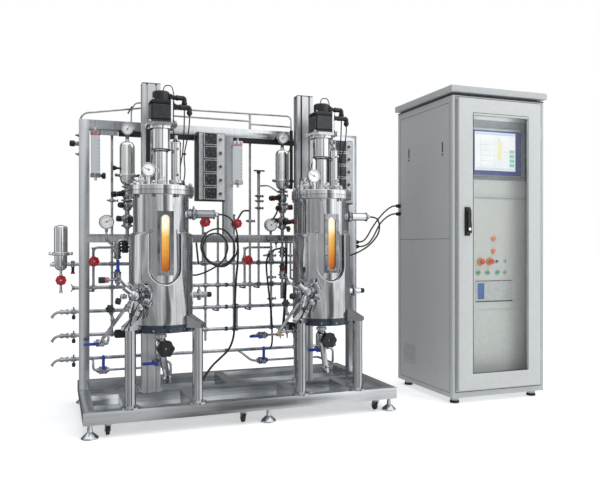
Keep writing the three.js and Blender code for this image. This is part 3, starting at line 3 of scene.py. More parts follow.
import bmesh
import bpy
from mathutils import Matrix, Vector


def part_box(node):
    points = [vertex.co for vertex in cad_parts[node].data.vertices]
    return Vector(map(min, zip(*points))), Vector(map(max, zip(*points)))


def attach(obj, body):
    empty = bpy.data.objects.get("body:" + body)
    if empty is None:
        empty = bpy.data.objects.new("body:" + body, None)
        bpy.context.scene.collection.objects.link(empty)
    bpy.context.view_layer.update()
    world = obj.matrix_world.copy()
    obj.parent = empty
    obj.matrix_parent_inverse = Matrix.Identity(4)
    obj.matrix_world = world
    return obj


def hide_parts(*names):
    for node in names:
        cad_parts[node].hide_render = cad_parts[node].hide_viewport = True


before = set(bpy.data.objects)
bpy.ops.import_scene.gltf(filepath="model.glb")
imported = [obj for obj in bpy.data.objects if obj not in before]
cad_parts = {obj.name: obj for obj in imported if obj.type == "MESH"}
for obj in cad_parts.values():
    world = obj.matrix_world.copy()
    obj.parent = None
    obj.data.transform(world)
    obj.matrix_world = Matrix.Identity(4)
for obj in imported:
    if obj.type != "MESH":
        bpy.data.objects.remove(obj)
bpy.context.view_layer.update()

# ---------------------------------------------------------------- where things are
# The skid's own corner, found from the left agitator's shaft. Sizes in this file are millimetres from that
# corner, with X along the skid, Y to the back and Z up, so they are the sizes of a shop drawing.

VESSEL_X = {"a": 358, "b": 1181}
VESSEL_Y = 135
shaft_low, shaft_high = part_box("agitator_a")
SKID = (shaft_low + shaft_high) / 2 - Vector((VESSEL_X["a"], VESSEL_Y, 0)) / 1000
SKID.z = 0


def spot(x, y, z):
    """A point of the skid's drawing, in metres in the shared frame."""
    return SKID + Vector((x, y, z)) / 1000


def by_vessel(letter, x, y, z):
    """A point measured from a vessel's own upright axis."""
    return spot(VESSEL_X[letter] + x, VESSEL_Y + y, z)


# ---------------------------------------------------------------- camera
# A standing person's view from in front of the skid's left end. It is level, so the posts stay upright, and
# its lens takes in the skid and the cabinet.

camera = bpy.data.objects.new("camera", bpy.data.cameras.new("camera"))
bpy.context.scene.collection.objects.link(camera)
bpy.context.scene.camera = camera
camera.location = spot(-114.5, -3049.6, 857.2)
camera.rotation_euler = (radians(90), 0, radians(-20.286))
camera.data.sensor_width = 36
camera.data.lens = 39.75
camera.data.shift_y = -0.0078
camera.data.clip_start = 0.05

# ---------------------------------------------------------------- cables
# Two control cables from the cabinet's glands to the skid, and a signal lead from each vessel's probe to its
# lift column. They are round PVC-sheathed cables: soft black, slightly waxy, dull where they are handled.


def tone(hex_code):
    """An sRGB hex colour as linear red, green, blue and alpha."""
    parts = [int(hex_code[i:i + 2], 16) / 255 for i in (1, 3, 5)]
    return [p / 12.92 if p <= 0.04045 else ((p + 0.055) / 1.055) ** 2.4 for p in parts] + [1.0]


def add(tree, kind, links=None, stops=(), **settings):
    """Adds a node with its settings. links gives each input a value or another node's output, and stops gives
    a colour ramp's places, each with a hex colour or a grey level."""
    node = tree.nodes.new("ShaderNode" + kind)
    for name, value in settings.items():
        setattr(node, name, value)
    for name, value in (links or {}).items():
        if isinstance(value, bpy.types.NodeSocket):
            tree.links.new(value, node.inputs[name])
        else:
            node.inputs[name].default_value = value
    if stops:
        elements = node.color_ramp.elements
        for _ in stops[2:]:
            elements.new(0.5)
        for element, (place, colour) in zip(elements, stops):
            element.position = place
            element.color = tone(colour) if isinstance(colour, str) else [colour] * 3 + [1]
    return node


def finish_of(name):
    """A new material's node tree with its own object coordinates, in metres."""
    material = bpy.data.materials.new(name)
    material.use_nodes = True
    tree = material.node_tree
    tree.nodes.clear()
    where = add(tree, "TexCoord").outputs["Object"]
    return material, tree, where


def grain(tree, where, stretch, detail=2.0, roughness=0.5):
    """Noise drawn out along an axis: stretch gives its cycles per metre along X, Y and Z."""
    drawn = add(tree, "Mapping", {"Vector": where, "Scale": stretch}).outputs["Vector"]
    noise = add(tree, "TexNoise", {"Vector": drawn, "Scale": 1.0, "Detail": detail, "Roughness": roughness})
    return noise.outputs["Fac"]


# Most of a noise pattern lies between these two values.
MIDDLE = {"From Min": 0.3, "From Max": 0.7}


def moulding(name, dark, light, roughness, coat=0.0, grit=900, depth=0.0002, strength=0.25, cloud=45,
             detail=3, full=0.65, ior=1.5):
    """Moulded or extruded plastic and rubber, or paint: an even colour with a faint cloud of dust or wear,
    and a fine surface. grit and cloud are in cycles per metre, and the cloud is lightest at full."""
    material, tree, where = finish_of(name)
    haze = grain(tree, where, (cloud, cloud, cloud), detail)
    colour = add(tree, "ValToRGB", {"Fac": haze}, [(0.35, dark), (full, light)])
    sheen = add(tree, "MapRange", {"Value": haze, **MIDDLE, "To Min": roughness[0], "To Max": roughness[1]})
    bump = add(tree, "Bump", {"Height": grain(tree, where, (grit, grit, grit)), "Strength": strength,
                              "Distance": depth})
    shader = add(tree, "BsdfPrincipled", {
        "Base Color": colour.outputs["Color"], "Roughness": sheen.outputs["Result"], "IOR": ior,
        "Normal": bump.outputs["Normal"], "Coat Weight": coat, "Coat Roughness": 0.08})
    add(tree, "OutputMaterial", {"Surface": shader.outputs[0]})
    return material


# Extruded black PVC: a soft sheen with faint drag lines and dust.
PVC = moulding("extruded black pvc", "#0d0e10", "#1d1f22", (0.38, 0.55), depth=0.0004, strength=0.15,
               cloud=160, full=0.7, ior=1.53)


def smooth_line(points, steps):
    """A centripetal Catmull-Rom line through points, with that many steps between each two."""
    ends = [points[0] * 2 - points[1]] + list(points) + [points[-1] * 2 - points[-2]]
    line = []
    for p0, p1, p2, p3 in zip(ends, ends[1:], ends[2:], ends[3:]):
        t0 = 0.0
        t1 = t0 + max((p1 - p0).length ** 0.5, 1e-6)
        t2 = t1 + max((p2 - p1).length ** 0.5, 1e-6)
        t3 = t2 + max((p3 - p2).length ** 0.5, 1e-6)
        for i in range(steps):
            t = t1 + (t2 - t1) * i / steps
            a1 = p0 * ((t1 - t) / (t1 - t0)) + p1 * ((t - t0) / (t1 - t0))
            a2 = p1 * ((t2 - t) / (t2 - t1)) + p2 * ((t - t1) / (t2 - t1))
            a3 = p2 * ((t3 - t) / (t3 - t2)) + p3 * ((t - t2) / (t3 - t2))
            b1 = a1 * ((t2 - t) / (t2 - t0)) + a2 * ((t - t0) / (t2 - t0))
            b2 = a2 * ((t3 - t) / (t3 - t1)) + a3 * ((t - t1) / (t3 - t1))
            line.append(b1 * ((t2 - t) / (t2 - t1)) + b2 * ((t - t1) / (t2 - t1)))
    return line + [points[-1]]


def flexible(name, line, diameter, body, stands_for=None):
    """A round cable or hose, of a diameter in mm, along a line of points."""
    data = bpy.data.curves.new(name, "CURVE")
    data.dimensions = "3D"
    data.bevel_depth = diameter / 2000
    data.bevel_resolution = 4
    data.use_fill_caps = True
    spline = data.splines.new("POLY")
    spline.points.add(len(line) - 1)
    for point, place in zip(spline.points, line):
        point.co = (*place, 1)
    data.materials.append(PVC)
    made = bpy.data.objects.new(name, data)
    bpy.context.scene.collection.objects.link(made)
    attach(made, body)
    if stands_for:
        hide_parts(stands_for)


CABINET_CABLES = {
    "upper": [
        (1860.7, 577, 1100), (1840, 577, 1099), (1804, 577, 1082), (1745, 575, 1030), (1684, 562, 960),
        (1646, 543, 914), (1616, 525, 889), (1595, 518, 880), (1572.3, 515, 876)],
    "lower": [
        (1860.7, 577, 1051), (1842, 577, 1050.5), (1806, 577, 1038), (1750, 573, 994), (1690, 555, 908),
        (1652, 538, 872), (1618, 523, 856), (1597, 517, 851.5), (1572.3, 515, 850)],
}
CABINET_CABLE_OD = 9
for level, points in CABINET_CABLES.items():
    flexible("control_cable_" + level, smooth_line([spot(*p) for p in points], 6), CABINET_CABLE_OD,
             "stand", "cabinet_cable_" + level)

PROBE_CABLES = {
    "a": [
        (276.3, 0, 1008), (300, 0.5, 1007), (330, 2, 996), (356, 7, 968), (374, 15, 926), (383, 24, 880),
        (376, 32, 812), (318, 44, 752), (240, 48, 776), (202, 50, 850), (236, 54, 922), (310, 58, 938),
        (370, 64, 880), (372, 72, 802), (310, 80, 755), (240, 86, 790), (220, 90, 850), (250, 96, 908),
        (312, 102, 912), (352, 110, 855), (330, 120, 780), (262, 134, 730), (190, 154, 706),
          (130, 184, 728), (92, 212, 764), (66, 223, 777), (39.3, 225, 780)],
    "b": [
        (276.3, 0, 1008), (298, 0.5, 1007), (324, 5, 998), (344, 18, 970), (350, 44, 920), (312, 98, 850),
        (230, 155, 800), (140, 199, 784), (90, 219, 781), (64, 224.5, 780), (39.3, 225, 780)],
}
PROBE_CABLE_OD = 8.5
for letter, points in PROBE_CABLES.items():
    flexible("probe_lead_" + letter, smooth_line([by_vessel(letter, *p) for p in points], 6),
             PROBE_CABLE_OD, "stand", "probe_cable_" + letter)

# ---------------------------------------------------------------- skid base
# A welded frame of 304 rectangular tube with a drip tray let in, on levelling feet. The tube is ground and
# buffed, so it shines softly along its length.

# Corners this close, in metres, are one corner.
SAME_PLACE = 0.00001


def crease_group():
    """Geometry nodes that merge a solid's split corners and shade it smooth except over real edges."""
    group = bpy.data.node_groups.new("true edges", "GeometryNodeTree")
    group.interface.new_socket("Geometry", in_out="INPUT", socket_type="NodeSocketGeometry")
    group.interface.new_socket("Geometry", in_out="OUTPUT", socket_type="NodeSocketGeometry")
    start = group.nodes.new("NodeGroupInput")
    merge = group.nodes.new("GeometryNodeMergeByDistance")
    merge.inputs["Distance"].default_value = SAME_PLACE
    bare = group.nodes.new("GeometryNodeRemoveAttribute")
    bare.inputs["Name"].default_value = "custom_normal"
    soft = group.nodes.new("GeometryNodeSetShadeSmooth")
    sharp = group.nodes.new("GeometryNodeSetShadeSmooth")
    sharp.domain = "EDGE"
    sharp.inputs["Shade Smooth"].default_value = False
    angle = group.nodes.new("GeometryNodeInputMeshEdgeAngle")
    over = group.nodes.new("FunctionNodeCompare")
    over.inputs["B"].default_value = radians(33)
    end = group.nodes.new("NodeGroupOutput")
    for before, after in ((start, merge), (merge, bare), (bare, soft), (soft, sharp), (sharp, end)):
        group.links.new(before.outputs[0], after.inputs[0])
    group.links.new(angle.outputs["Unsigned Angle"], over.inputs["A"])
    group.links.new(over.outputs[0], sharp.inputs["Selection"])
    return group


TRUE_EDGES = crease_group()


def dress(nodes, material, arris=0.0):
    """Gives solids of the frame their finish, arrises of a radius in mm, and shading broken at real edges."""
    for node in nodes:
        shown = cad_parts[node]
        shown.material_slots[0].material = material
        if arris:
            shown.modifiers.new("closed corners", "WELD").merge_threshold = SAME_PLACE
            round_over = shown.modifiers.new("arris", "BEVEL")
            round_over.width = arris / 1000
            round_over.segments = 3
            round_over.limit_method = "ANGLE"
            round_over.angle_limit = radians(40)
        shown.modifiers.new("true edges", "NODES").node_group = TRUE_EDGES


def steel(name, colours, roughness, stretch, wave=0.0, wave_scale=(9, 9, 9), grit=(500, 500, 500)):
    """Stainless steel: a tone between two colours along its grain, and a surface that waves a little."""
    material, tree, where = finish_of(name)
    drawn = grain(tree, where, stretch, 3)
    stain = grain(tree, where, (7, 7, 7), 4)
    mixed = add(tree, "Math", {0: drawn, 1: stain}, operation="ADD").outputs[0]
    half = add(tree, "Math", {0: mixed, 1: 0.5}, operation="MULTIPLY").outputs[0]
    colour = add(tree, "ValToRGB", {"Fac": half}, [(0.38, colours[0]), (0.6, colours[1])])
    sheen = add(tree, "MapRange", {"Value": half, **MIDDLE, "To Min": roughness[0], "To Max": roughness[1]})
    fine = add(tree, "Bump", {"Height": grain(tree, where, grit, 1), "Strength": 0.05, "Distance": 0.0003})
    broad = add(tree, "Bump", {"Height": grain(tree, where, wave_scale, 1), "Strength": 1.0,
                               "Distance": wave, "Normal": fine.outputs["Normal"]})
    shader = add(tree, "BsdfPrincipled", {
        "Base Color": colour.outputs["Color"], "Roughness": sheen.outputs["Result"], "Metallic": 1.0,
        "Normal": broad.outputs["Normal"]})
    add(tree, "OutputMaterial", {"Surface": shader.outputs[0]})
    return material


# Ground and buffed 304 tube: grey, with a soft lengthways sheen; the grain is drawn ten times too coarse.
BUFFED_TUBE = steel("buffed 304 tube", ("#c0c4c8", "#d2d5d8"), (0.14, 0.26), (3, 90, 90), 0.0002)
dress(["base_frame"], BUFFED_TUBE, 3)

# Ways along the drawing's axes.
UP, DOWN, LEFT, RIGHT, FRONT = (0, 0, 1), (0, 0, -1), (-1, 0, 0), (1, 0, 0), (0, -1, 0)


def about(count, radius, start=0.0):
    """Places evenly round a circle from a heading in degrees, as pairs measured from its middle."""
    angles = [radians(start + 360 / count * k) for k in range(count)]
    return [(radius * cos(angle), radius * sin(angle)) for angle in angles]


def turn(mesh, profile, at, axis=UP, sides=28, lobes=0, depth=0.0):
    """Revolves points of (radius, distance) in mm about an axis that starts at a place in metres. Lobes are
    the grips of a knob: so many, each standing out by a share of the radius."""
    spin = Vector(axis).to_track_quat("Z", "Y").to_matrix()
    rings = []
    for radius, along in profile:
        ring = []
        for i in range(sides if radius else 1):
            angle = 2 * pi * i / sides
            reach = radius * (1 + depth * cos(lobes * angle))
            ring.append(mesh.verts.new(
                at + spin @ Vector((reach * cos(angle), reach * sin(angle), along)) / 1000))
        rings.append(ring)
    for low, high in zip(rings, rings[1:]):
        for i in range(sides):
            corners = [low[i % len(low)], low[(i + 1) % sides % len(low)],
                       high[(i + 1) % sides % len(high)], high[i % len(high)]]
            corners = list(dict.fromkeys(corners))
            if len(corners) > 2:
                mesh.faces.new(corners)


def stub(mesh, at, axis, diameter, length, sides=24, chamfer=1.0):
    """A turned stub with chamfered ends. Six sides make a hexagon nut."""
    r = diameter / 2
    c = min(chamfer, length / 3)
    turn(mesh, [(0, 0), (r - c, 0), (r, c), (r, length - c), (r - c, length), (0, length)], at, axis, sides)


def slab(mesh, low, high, ease=1.0):
    """A plate or block between two corners in metres, its arrises eased by so many mm."""
    made = bmesh.ops.create_cube(mesh, size=1)["verts"]
    size = [max(b - a, 0.0002) for a, b in zip(low, high)]
    middle = [(a + b) / 2 for a, b in zip(low, high)]
    for vert in made:
        vert.co = Vector([m + c * s for m, c, s in zip(middle, vert.co, size)])
    edges = list({edge for vert in made for edge in vert.link_edges})
    bmesh.ops.bevel(mesh, geom=edges, offset=min(ease / 1000, min(size) * 0.4), segments=2, affect="EDGES")


def sweep(mesh, line, diameter, sides=12):
    """A round bar along a line of points in metres, closed at its ends."""
    ahead = [(b - a).normalized() for a, b in zip(line, line[1:])]
    ahead = [ahead[0]] + [(a + b).normalized() for a, b in zip(ahead, ahead[1:])] + [ahead[-1]]
    across = ahead[0].orthogonal().normalized()
    rings = []
    for place, way in zip(line, ahead):
        across = (across - way * across.dot(way)).normalized()
        other = way.cross(across)
        rings.append([mesh.verts.new(place + (across * cos(t) + other * sin(t)) * diameter / 2000)
                      for t in (2 * pi * i / sides for i in range(sides))])
    for low, high in zip(rings, rings[1:]):
        for i in range(sides):
            mesh.faces.new([low[i], low[(i + 1) % sides], high[(i + 1) % sides], high[i]])
    mesh.faces.new(rings[0][::-1])
    mesh.faces.new(rings[-1])


def bent(points, radius, steps=6):
    """A line of points in metres with each inner corner rounded to a radius in mm."""
    line = [points[0]]
    for before, corner, after in zip(points, points[1:], points[2:]):
        back = min(radius / 1000, (before - corner).length * 0.45, (after - corner).length * 0.45)
        start = corner + (before - corner).normalized() * back
        end = corner + (after - corner).normalized() * back
        line += [start * (1 - t) ** 2 + corner * 2 * t * (1 - t) + end * t * t
                 for t in (i / steps for i in range(steps + 1))]
    return line + [points[-1]]


def piece(name, mesh, material, body="stand", crease=38, stands_for=None):
    """Closes a mesh into a named piece of the part: smooth but for real edges, with its finish's slot, riding
    on a body, and standing for a solid of the frame where one is named."""
    bmesh.ops.remove_doubles(mesh, verts=mesh.verts, dist=0.000002)
    bmesh.ops.recalc_face_normals(mesh, faces=mesh.faces)
    for face in mesh.faces:
        face.smooth = True
    for edge in mesh.edges:
        edge.smooth = len(edge.link_faces) == 2 and edge.calc_face_angle(0) < radians(crease)
    data = bpy.data.meshes.new(name)
    mesh.to_mesh(data)
    mesh.free()
    data.materials.append(material)
    made = bpy.data.objects.new(name, data)
    bpy.context.scene.collection.objects.link(made)
    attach(made, body)
    if stands_for:
        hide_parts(stands_for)


# ---------------------------------------------------------------- casters
# Small swivel casters behind the levelling feet, for wheeling the skid about. The forks are pressed steel,
# zinc plated, and the tyres are hard black rubber.

# Hard moulded rubber: dull, greyed by dust in its hollows.
TYRE = moulding("caster tyre rubber", "#121314", "#2a2b2c", (0.55, 0.8), grit=1200, depth=0.0003,
                strength=0.3, cloud=90, detail=4, full=0.7, ior=1.52)
ZINC = steel("zinc plated pressing", ("#8b8f93", "#b9bcc0"), (0.3, 0.45), (60, 60, 60))
PLACES = ["front_left", "front_middle", "front_right", "rear_left", "rear_right"]
dress(["caster_wheel_" + place for place in PLACES], TYRE)
dress(["caster_fork_" + place for place in PLACES], ZINC)

# ---------------------------------------------------------------- vessels
# Two jacketed 316L vessels on welded legs. Shell, cone and jacket are rolled, welded and mirror polished; a
# long sight glass is clamped in a screwed frame in the jacket's cut-out.

# Mirror-polished 316L: nearly no grain, so it takes the room's tall bright and dark panels as streaks.
MIRROR = steel("electropolished 316l", ("#cfd1d4", "#e0e2e4"), (0.07, 0.15), (9, 9, 3), 0.0005, (5, 5, 3))
# The shell's sheet is a little greyer. Cast valve bodies mirror the room in broken patches: their wavy
# surface breaks the reflection up, and dark and bright patches of painted reflection lie in their colour as
# well.
SHELL = steel("polished 316l shell", ("#bec0c4", "#cfd1d4"), (0.07, 0.15), (9, 9, 3), 0.0005, (5, 5, 3))
CAST = steel("cast valve body with painted reflection patches", ("#797d82", "#c2c5c9"), (0.1, 0.24), (34, 34, 34), 0.0009,
             (55, 55, 55))
dress(["vessel_a", "vessel_b"], SHELL)


def clear_glass(name, tint, gloss, dirt=0.0):
    """A pane of glass: it passes what is behind it, tinted, and mirrors the room by Fresnel."""
    material, tree, where = finish_of(name)
    smear = add(tree, "MapRange", {"Value": grain(tree, where, (5, 5, 3), 4), **MIDDLE, "To Max": dirt})
    through = add(tree, "BsdfTransparent", {"Color": tone(tint)})
    mirror = add(tree, "BsdfGlossy", {"Color": (1, 1, 1, 1), "Roughness": gloss})
    edge = add(tree, "Fresnel", {"IOR": 1.52}).outputs[0]
    both = add(tree, "Math", {0: edge, 1: smear.outputs["Result"]}, operation="ADD").outputs[0]
    back = add(tree, "NewGeometry").outputs["Backfacing"]
    front = add(tree, "Math", {0: 1.0, 1: back}, operation="SUBTRACT").outputs[0]
    both = add(tree, "Math", {0: both, 1: front}, operation="MULTIPLY").outputs[0]
    shader = add(tree, "MixShader", {0: both, 1: through.outputs[0], 2: mirror.outputs[0]})
    add(tree, "OutputMaterial", {"Surface": shader.outputs[0]})
    return material


SIGHT = clear_glass("borosilicate sight glass", "#fdfbf4", 0.03)
dress(["sight_glass_a", "sight_glass_b"], SIGHT)
SHELL_R, JACKET_R = 130, 149
SLOT_LOW, SLOT_HIGH, SLOT_HALF = 736, 997, 20.5
PROBE_PORT, LOW_PORT = 1008, 618      # heights of the two ports on the right
LEG_X, LEG_Y, LEG_FLANGE = 153.5, -110, 128


def broth():
    """Culture broth with a painted glow: orange low down and amber above, paling to white at the top, and
    giving its own light as if a lamp stood behind it.
    """
    material, tree, where = finish_of("culture broth with painted glow")
    cells = add(tree, "TexNoise", {"Vector": where, "Scale": 60.0, "Detail": 4.0}).outputs["Fac"]
    z = add(tree, "SeparateXYZ", {"Vector": where}).outputs["Z"]
    height = add(tree, "MapRange", {"Value": z, "From Min": SLOT_LOW / 1000, "From Max": SLOT_HIGH / 1000})
    drift = add(tree, "MapRange", {"Value": cells, **MIDDLE, "To Min": -0.035, "To Max": 0.035})
    level = add(tree, "Math", {0: height.outputs["Result"], 1: drift.outputs["Result"]}, operation="ADD")
    colour = add(tree, "ValToRGB", {"Fac": level.outputs[0]}, [
        (0.0, "#a8581c"), (0.2, "#c67a28"), (0.4, "#d89f44"), (0.62, "#e3b863"), (0.7, "#efd9a6"),
        (0.78, "#fbf4e2"), (1.0, "#ffffff")]).outputs["Color"]
    bubbles = add(tree, "TexVoronoi", {"Vector": where, "Scale": 260.0}).outputs["Distance"]
    bump = add(tree, "Bump", {"Height": bubbles, "Strength": 0.3, "Distance": 0.001})
    # The broth's own light is painted glow, and the pale top is painted light.
    shader = add(tree, "BsdfPrincipled", {
        "Base Color": colour, "Emission Color": colour, "Emission Strength": 0.62, "Roughness": 0.35,
        "IOR": 1.34, "Normal": bump.outputs["Normal"]})
    add(tree, "OutputMaterial", {"Surface": shader.outputs[0]})
    return material


GLOWING_BROTH = broth()
# Phenolic and nylon come glossy from a polished mould. The glossy blue-black band at the jacket's foot,
# nearly a mirror, is painted shade and dark reflection where the jacket's bottom lies in shadow.
BLACK = moulding("black phenolic", "#0f1012", "#1c1e21", (0.25, 0.42))
RED = moulding("red nylon moulding", "#a50d18", "#cf1a26", (0.22, 0.34), 0.4)
SHADE_BAND = moulding("blue black painted shade band", "#141c26", "#233243", (0.12, 0.22), 0.5)
# Weld beads are brushed pale; brass is turned and left bare.
WELD = steel("brushed weld bead", ("#e2e4e6", "#f1f2f3"), (0.34, 0.46), (60, 60, 60))
BRASS = steel("turned brass", ("#8a6d3b", "#a88850"), (0.2, 0.3), (60, 60, 60))
# The window's frame is filed and polished by hand, so it mirrors the room in broken patches: its wavy surface
# breaks the reflection up, and dark and bright patches of painted reflection lie in its colour as well.
FRAME_FACE = steel("hand polished window frame with painted reflection patches", ("#83888c", "#cfd2d4"), (0.08, 0.2), (34, 34, 14), 0.0012,
                   (30, 30, 11))


def clamp_band(mesh, at, axis, radius, wide=11):
    """A hinged clamp round two ferrules, its wing nut standing out to the side."""
    r, w = radius, wide / 2
    turn(mesh, [(r * 0.5, -w - 3), (r - 5, -w - 2), (r - 3, -w + 1), (r - 0.8, -w + 1.5), (r, -w + 2.5),
                (r, w - 2.5), (r - 0.8, w - 1.5), (r - 3, w - 1), (r - 5, w + 2), (r * 0.5, w + 3)],
         at, axis, 28)
    out = Vector(axis).normalized().cross(Vector((0.3, -0.9, 0.1)))
    if out.length < 0.2:
        out = Vector(RIGHT)
    for side in (-1, 1):
        stub(mesh, at + out * side * (r - 2) / 1000, out * side, 9, 9, 12)
    stub(mesh, at + out * (r + 5) / 1000, out, 4, 14, 10)
    nut, reach = at + out * (r + 12) / 1000, Vector((0.003, 0.003, 0.008))
    slab(mesh, nut - reach, nut + reach, 1)


def stadium(mesh, half, low, high, wall, y0, y1, place):
    """A ring with straight sides and round ends in the XZ plane, from y0 to y1, its inside half wide."""
    outline = []
    for k in range(33):
        a = pi * (k if k <= 16 else k - 1) / 16
        middle = high - half if k <= 16 else low + half
        outline.append((cos(a), sin(a), middle))
    rings = []
    for r, y in ((half, y0), (half + wall, y0), (half + wall, y1), (half, y1)):
        rings.append([mesh.verts.new(place(c * r, y, m + s * r)) for c, s, m in outline])
    for low_ring, high_ring in zip(rings, rings[1:] + rings[:1]):
        for i in range(len(outline)):
            j = (i + 1) % len(outline)
            mesh.faces.new([low_ring[i], low_ring[j], high_ring[j], high_ring[i]])


for letter in "ab":
    at = lambda x, y, z: by_vessel(letter, x, y, z)
    liquid = bmesh.new()
    turn(liquid, [(0, 466), (60, 474), (104, 500), (119, 527), (119, 996), (112, 1000), (0, 998)],
         at(0, 0, 0), sides=64)
    piece("broth_" + letter, liquid, GLOWING_BROTH)
    rim, gasket, screws, seams, handles, brass, frame_bars, shade_band = [bmesh.new() for _ in range(8)]
    for x0, x1, z0, z1 in ((-37, -24.5, 719.5, 1013.5), (24.5, 37, 719.5, 1013.5), (-25, 25, 1001, 1013.5),
                           (-25, 25, 719.5, 732)):
        slab(frame_bars, at(x0, -141.4, z0), at(x1, -138.8, z1), 1.2)
    stadium(rim, SLOT_HALF - 0.6, SLOT_LOW, SLOT_HIGH, 3.2, -142.2, -139.2, at)
    stadium(gasket, SLOT_HALF - 2.2, SLOT_LOW, SLOT_HIGH, 1.7, -140.4, -134.9, at)
    for side in (-1, 1):
        for place in (at(side * 30.5, -141.2, 750 + 58 * k) for k in range(5)):
            stub(screws, place, FRONT, 8.5, 3, 24, 0.8)
            turn(screws, [(0, 3.1), (2.2, 3.1), (2.2, 2.6)], place, FRONT, 6)
        # Lifting eyes at the top corners of the jacket's cut-out.
        ring = [at(side * 79 + x, -129 - side * x / 16, 921 + z) for x, z in about(20, 8) + [(8, 0)]]
        sweep(screws, ring, 3.6, 8)
    # Weld beads round the neck under the flange and round the jacket's foot.
    for r, z in ((131, 1091.5), (143, 486)):
        turn(seams, [(r - 2, z - 1.8), (r + 0.6, z - 1.2), (r + 1.1, z), (r + 0.6, z + 1.2),
                     (r - 2, z + 1.8), (r - 2, z - 1.8)],
             at(0, 0, 0), sides=72)
    # The jacket's top bead stops each side of the window.
    sweep(seams, [at(131 * cos(a), 131 * sin(a), 916)
                  for a in (radians(-52 + 284 * i / 60) for i in range(61))], 3.4, 8)
    # The bright bead round the cut-out, and inside it a dark bead that is painted shadow of the jacket's edge
    # on the shell. Each has its mesh, half width, the radius it lies on, how far it stands out, its straight
    # sides' heights, its round foot's middle, its thickness and its sides.
    for mesh, half, on, out, heights, middle, wide, sides in (
            (seams, 75.6, JACKET_R, 1.2, (912, 840, 750), 749.6, 6, 10),
            (gasket, 70.5, SHELL_R, -1, (906, 840, 760), 751, 3.4, 8)):
        line = [(-half, z) for z in heights]
        line += [(half * cos(a), middle + half * sin(a)) for a in (pi + pi * i / 20 for i in range(21))]
        line += [(half, z) for z in heights[::-1]]
        sweep(mesh, [at(x, -sqrt(on ** 2 - x ** 2) + out, z) for x, z in line], wide, sides)
    # Beads round the two low ports' reliefs.
    for heading, z in ((-133, 630), (0, LOW_PORT)):
        ux, uy = cos(radians(heading)), sin(radians(heading))
        ring = []
        for across, up in about(40, 45) + [(45, 0)]:
            depth = sqrt(JACKET_R ** 2 - across ** 2) - 1
            ring.append(at(ux * depth - uy * across, uy * depth + ux * across, z + up))
        sweep(seams, ring, 6.5, 10)
    # A blue-black band where the jacket meets the cone: painted shade and dark reflection of the shadowed
    # steel there.
    turn(shade_band, [(128, 455), (143, 455), (146.5, 458), (146.5, 481), (149.6, 483), (150.2, 485),
                     (150.2, 491), (148.6, 492), (140, 492), (128, 455)], at(0, 0, 0), sides=96)
    for x, y in about(12, 145.5, 8):
        stub(screws, at(x, y, 468), (x, y, 0), 10, 5, 6)
    # Flange: the split line's gasket, and hexagon heads under the rim.
    turn(gasket, [(150, 1112.4), (155.2, 1112.4), (155.2, 1114), (150, 1114), (150, 1112.4)], at(0, 0, 0),
         sides=72)
    for x, y in about(8, 143, 22.5):
        stub(screws, at(x, y, 1079), UP, 17, 14, 6)
    # Leg flanges: four bolts each, their threads standing out of their nuts.
    for side in (-1, 1):
        for x, y in about(4, 34, 45):
            foot = at(side * LEG_X + x, LEG_Y + y, LEG_FLANGE)
            stub(screws, foot, UP, 13, 6, 6)
            stub(screws, foot + Vector((0, 0, 0.006)), UP, 7, 5, 12)
    # The probe port: a nut, knurled collar and clamp, and on the low port a clamp with a dark plug.
    for start, r, wide in ((150, 29, 12), (166, 24, 5), (250, 23, 10)):
        turn(screws, [(18, 0), (r - 2, 0), (r, 2), (r, wide - 2), (r - 2, wide), (18, wide), (18, 0)],
             at(start, 0, PROBE_PORT), RIGHT, 36)
    stub(screws, at(156, 0, PROBE_PORT + 22), UP, 9, 16, 12)
    turn(screws, [(14, 0), (26, 0), (27, 3), (27, 9), (26, 12), (14, 12), (14, 0)],
         at(176, 0, LOW_PORT), RIGHT, 36)
    stub(screws, at(182, 0, LOW_PORT + 25), UP, 9, 17, 12)
    turn(gasket, [(0, 222), (11, 222), (13, 226), (13, 238), (10, 243), (0, 243)],
         at(0, 0, LOW_PORT), RIGHT, 24)
    # The sampling valve: clamps on its port and its body, and small steam and condensate valves round it.
    sx, sy = -140, -150
    clamp_band(screws, at(-113, -121, 630), (-0.68, -0.73, 0), 27, 14)
    clamp_band(screws, at(sx - 3, sy - 1, 633), (-0.75, -0.2, 0.62), 27, 14)
    turn(screws, [(0, -31), (12, -31), (13, -28), (13, -10), (19, -6), (19, 6), (13, 10), (13, 26),
                  (9, 30), (0, 30)],
         at(sx + 2, sy + 8, 660), (0.35, -0.1, 0.93), 28)
    for x, y, z, ax, r, long in ((-118, -148, 664, (0.5, -0.2, 0.8), 8, 34),
                                 (-96, -150, 610, (0.9, -0.3, -0.3), 11, 26),
                                 (-160, -152, 596, (-0.5, -0.1, -0.85), 12, 30),
                                 (-120, -156, 590, (0.2, -0.4, -0.9), 12, 28),
                                 (-172, -146, 628, (-1, 0, 0.1), 9, 30)):
        turn(screws, [(0, 0), (r, 0), (r, long * 0.3), (r + 4, long * 0.35), (r + 4, long * 0.55),
                      (r - 1, long * 0.6), (r - 1, long), (0, long)], at(x, y, z), ax, 24)
        stub(screws, at(x, y, z) + Vector(ax).normalized() * long * 0.62 / 1000, ax, 2 * r + 5, 7, 6)
    for line, wide in (([(-168, -138, 690), (-150, -146, 674), (-128, -150, 640)], 8),
                       ([(-96, -158, 668), (-82, -152, 676), (-70, -148, 662), (-64, -146, 640)], 6),
                       ([(-92, -160, 590), (-76, -156, 582), (-66, -150, 600)], 6)):
        sweep(screws, smooth_line([at(*p) for p in line], 5), wide, 10)
    for line in ([(-118, -160, 604), (-140, -158, 560), (-160, -150, 520), (-190, -140, 470)],
                 [(-104, -156, 590), (-112, -152, 556), (-128, -146, 520)],
                 [(-150, -140, 590), (-156, -140, 560), (-150, -138, 530), (-158, -130, 500)]):
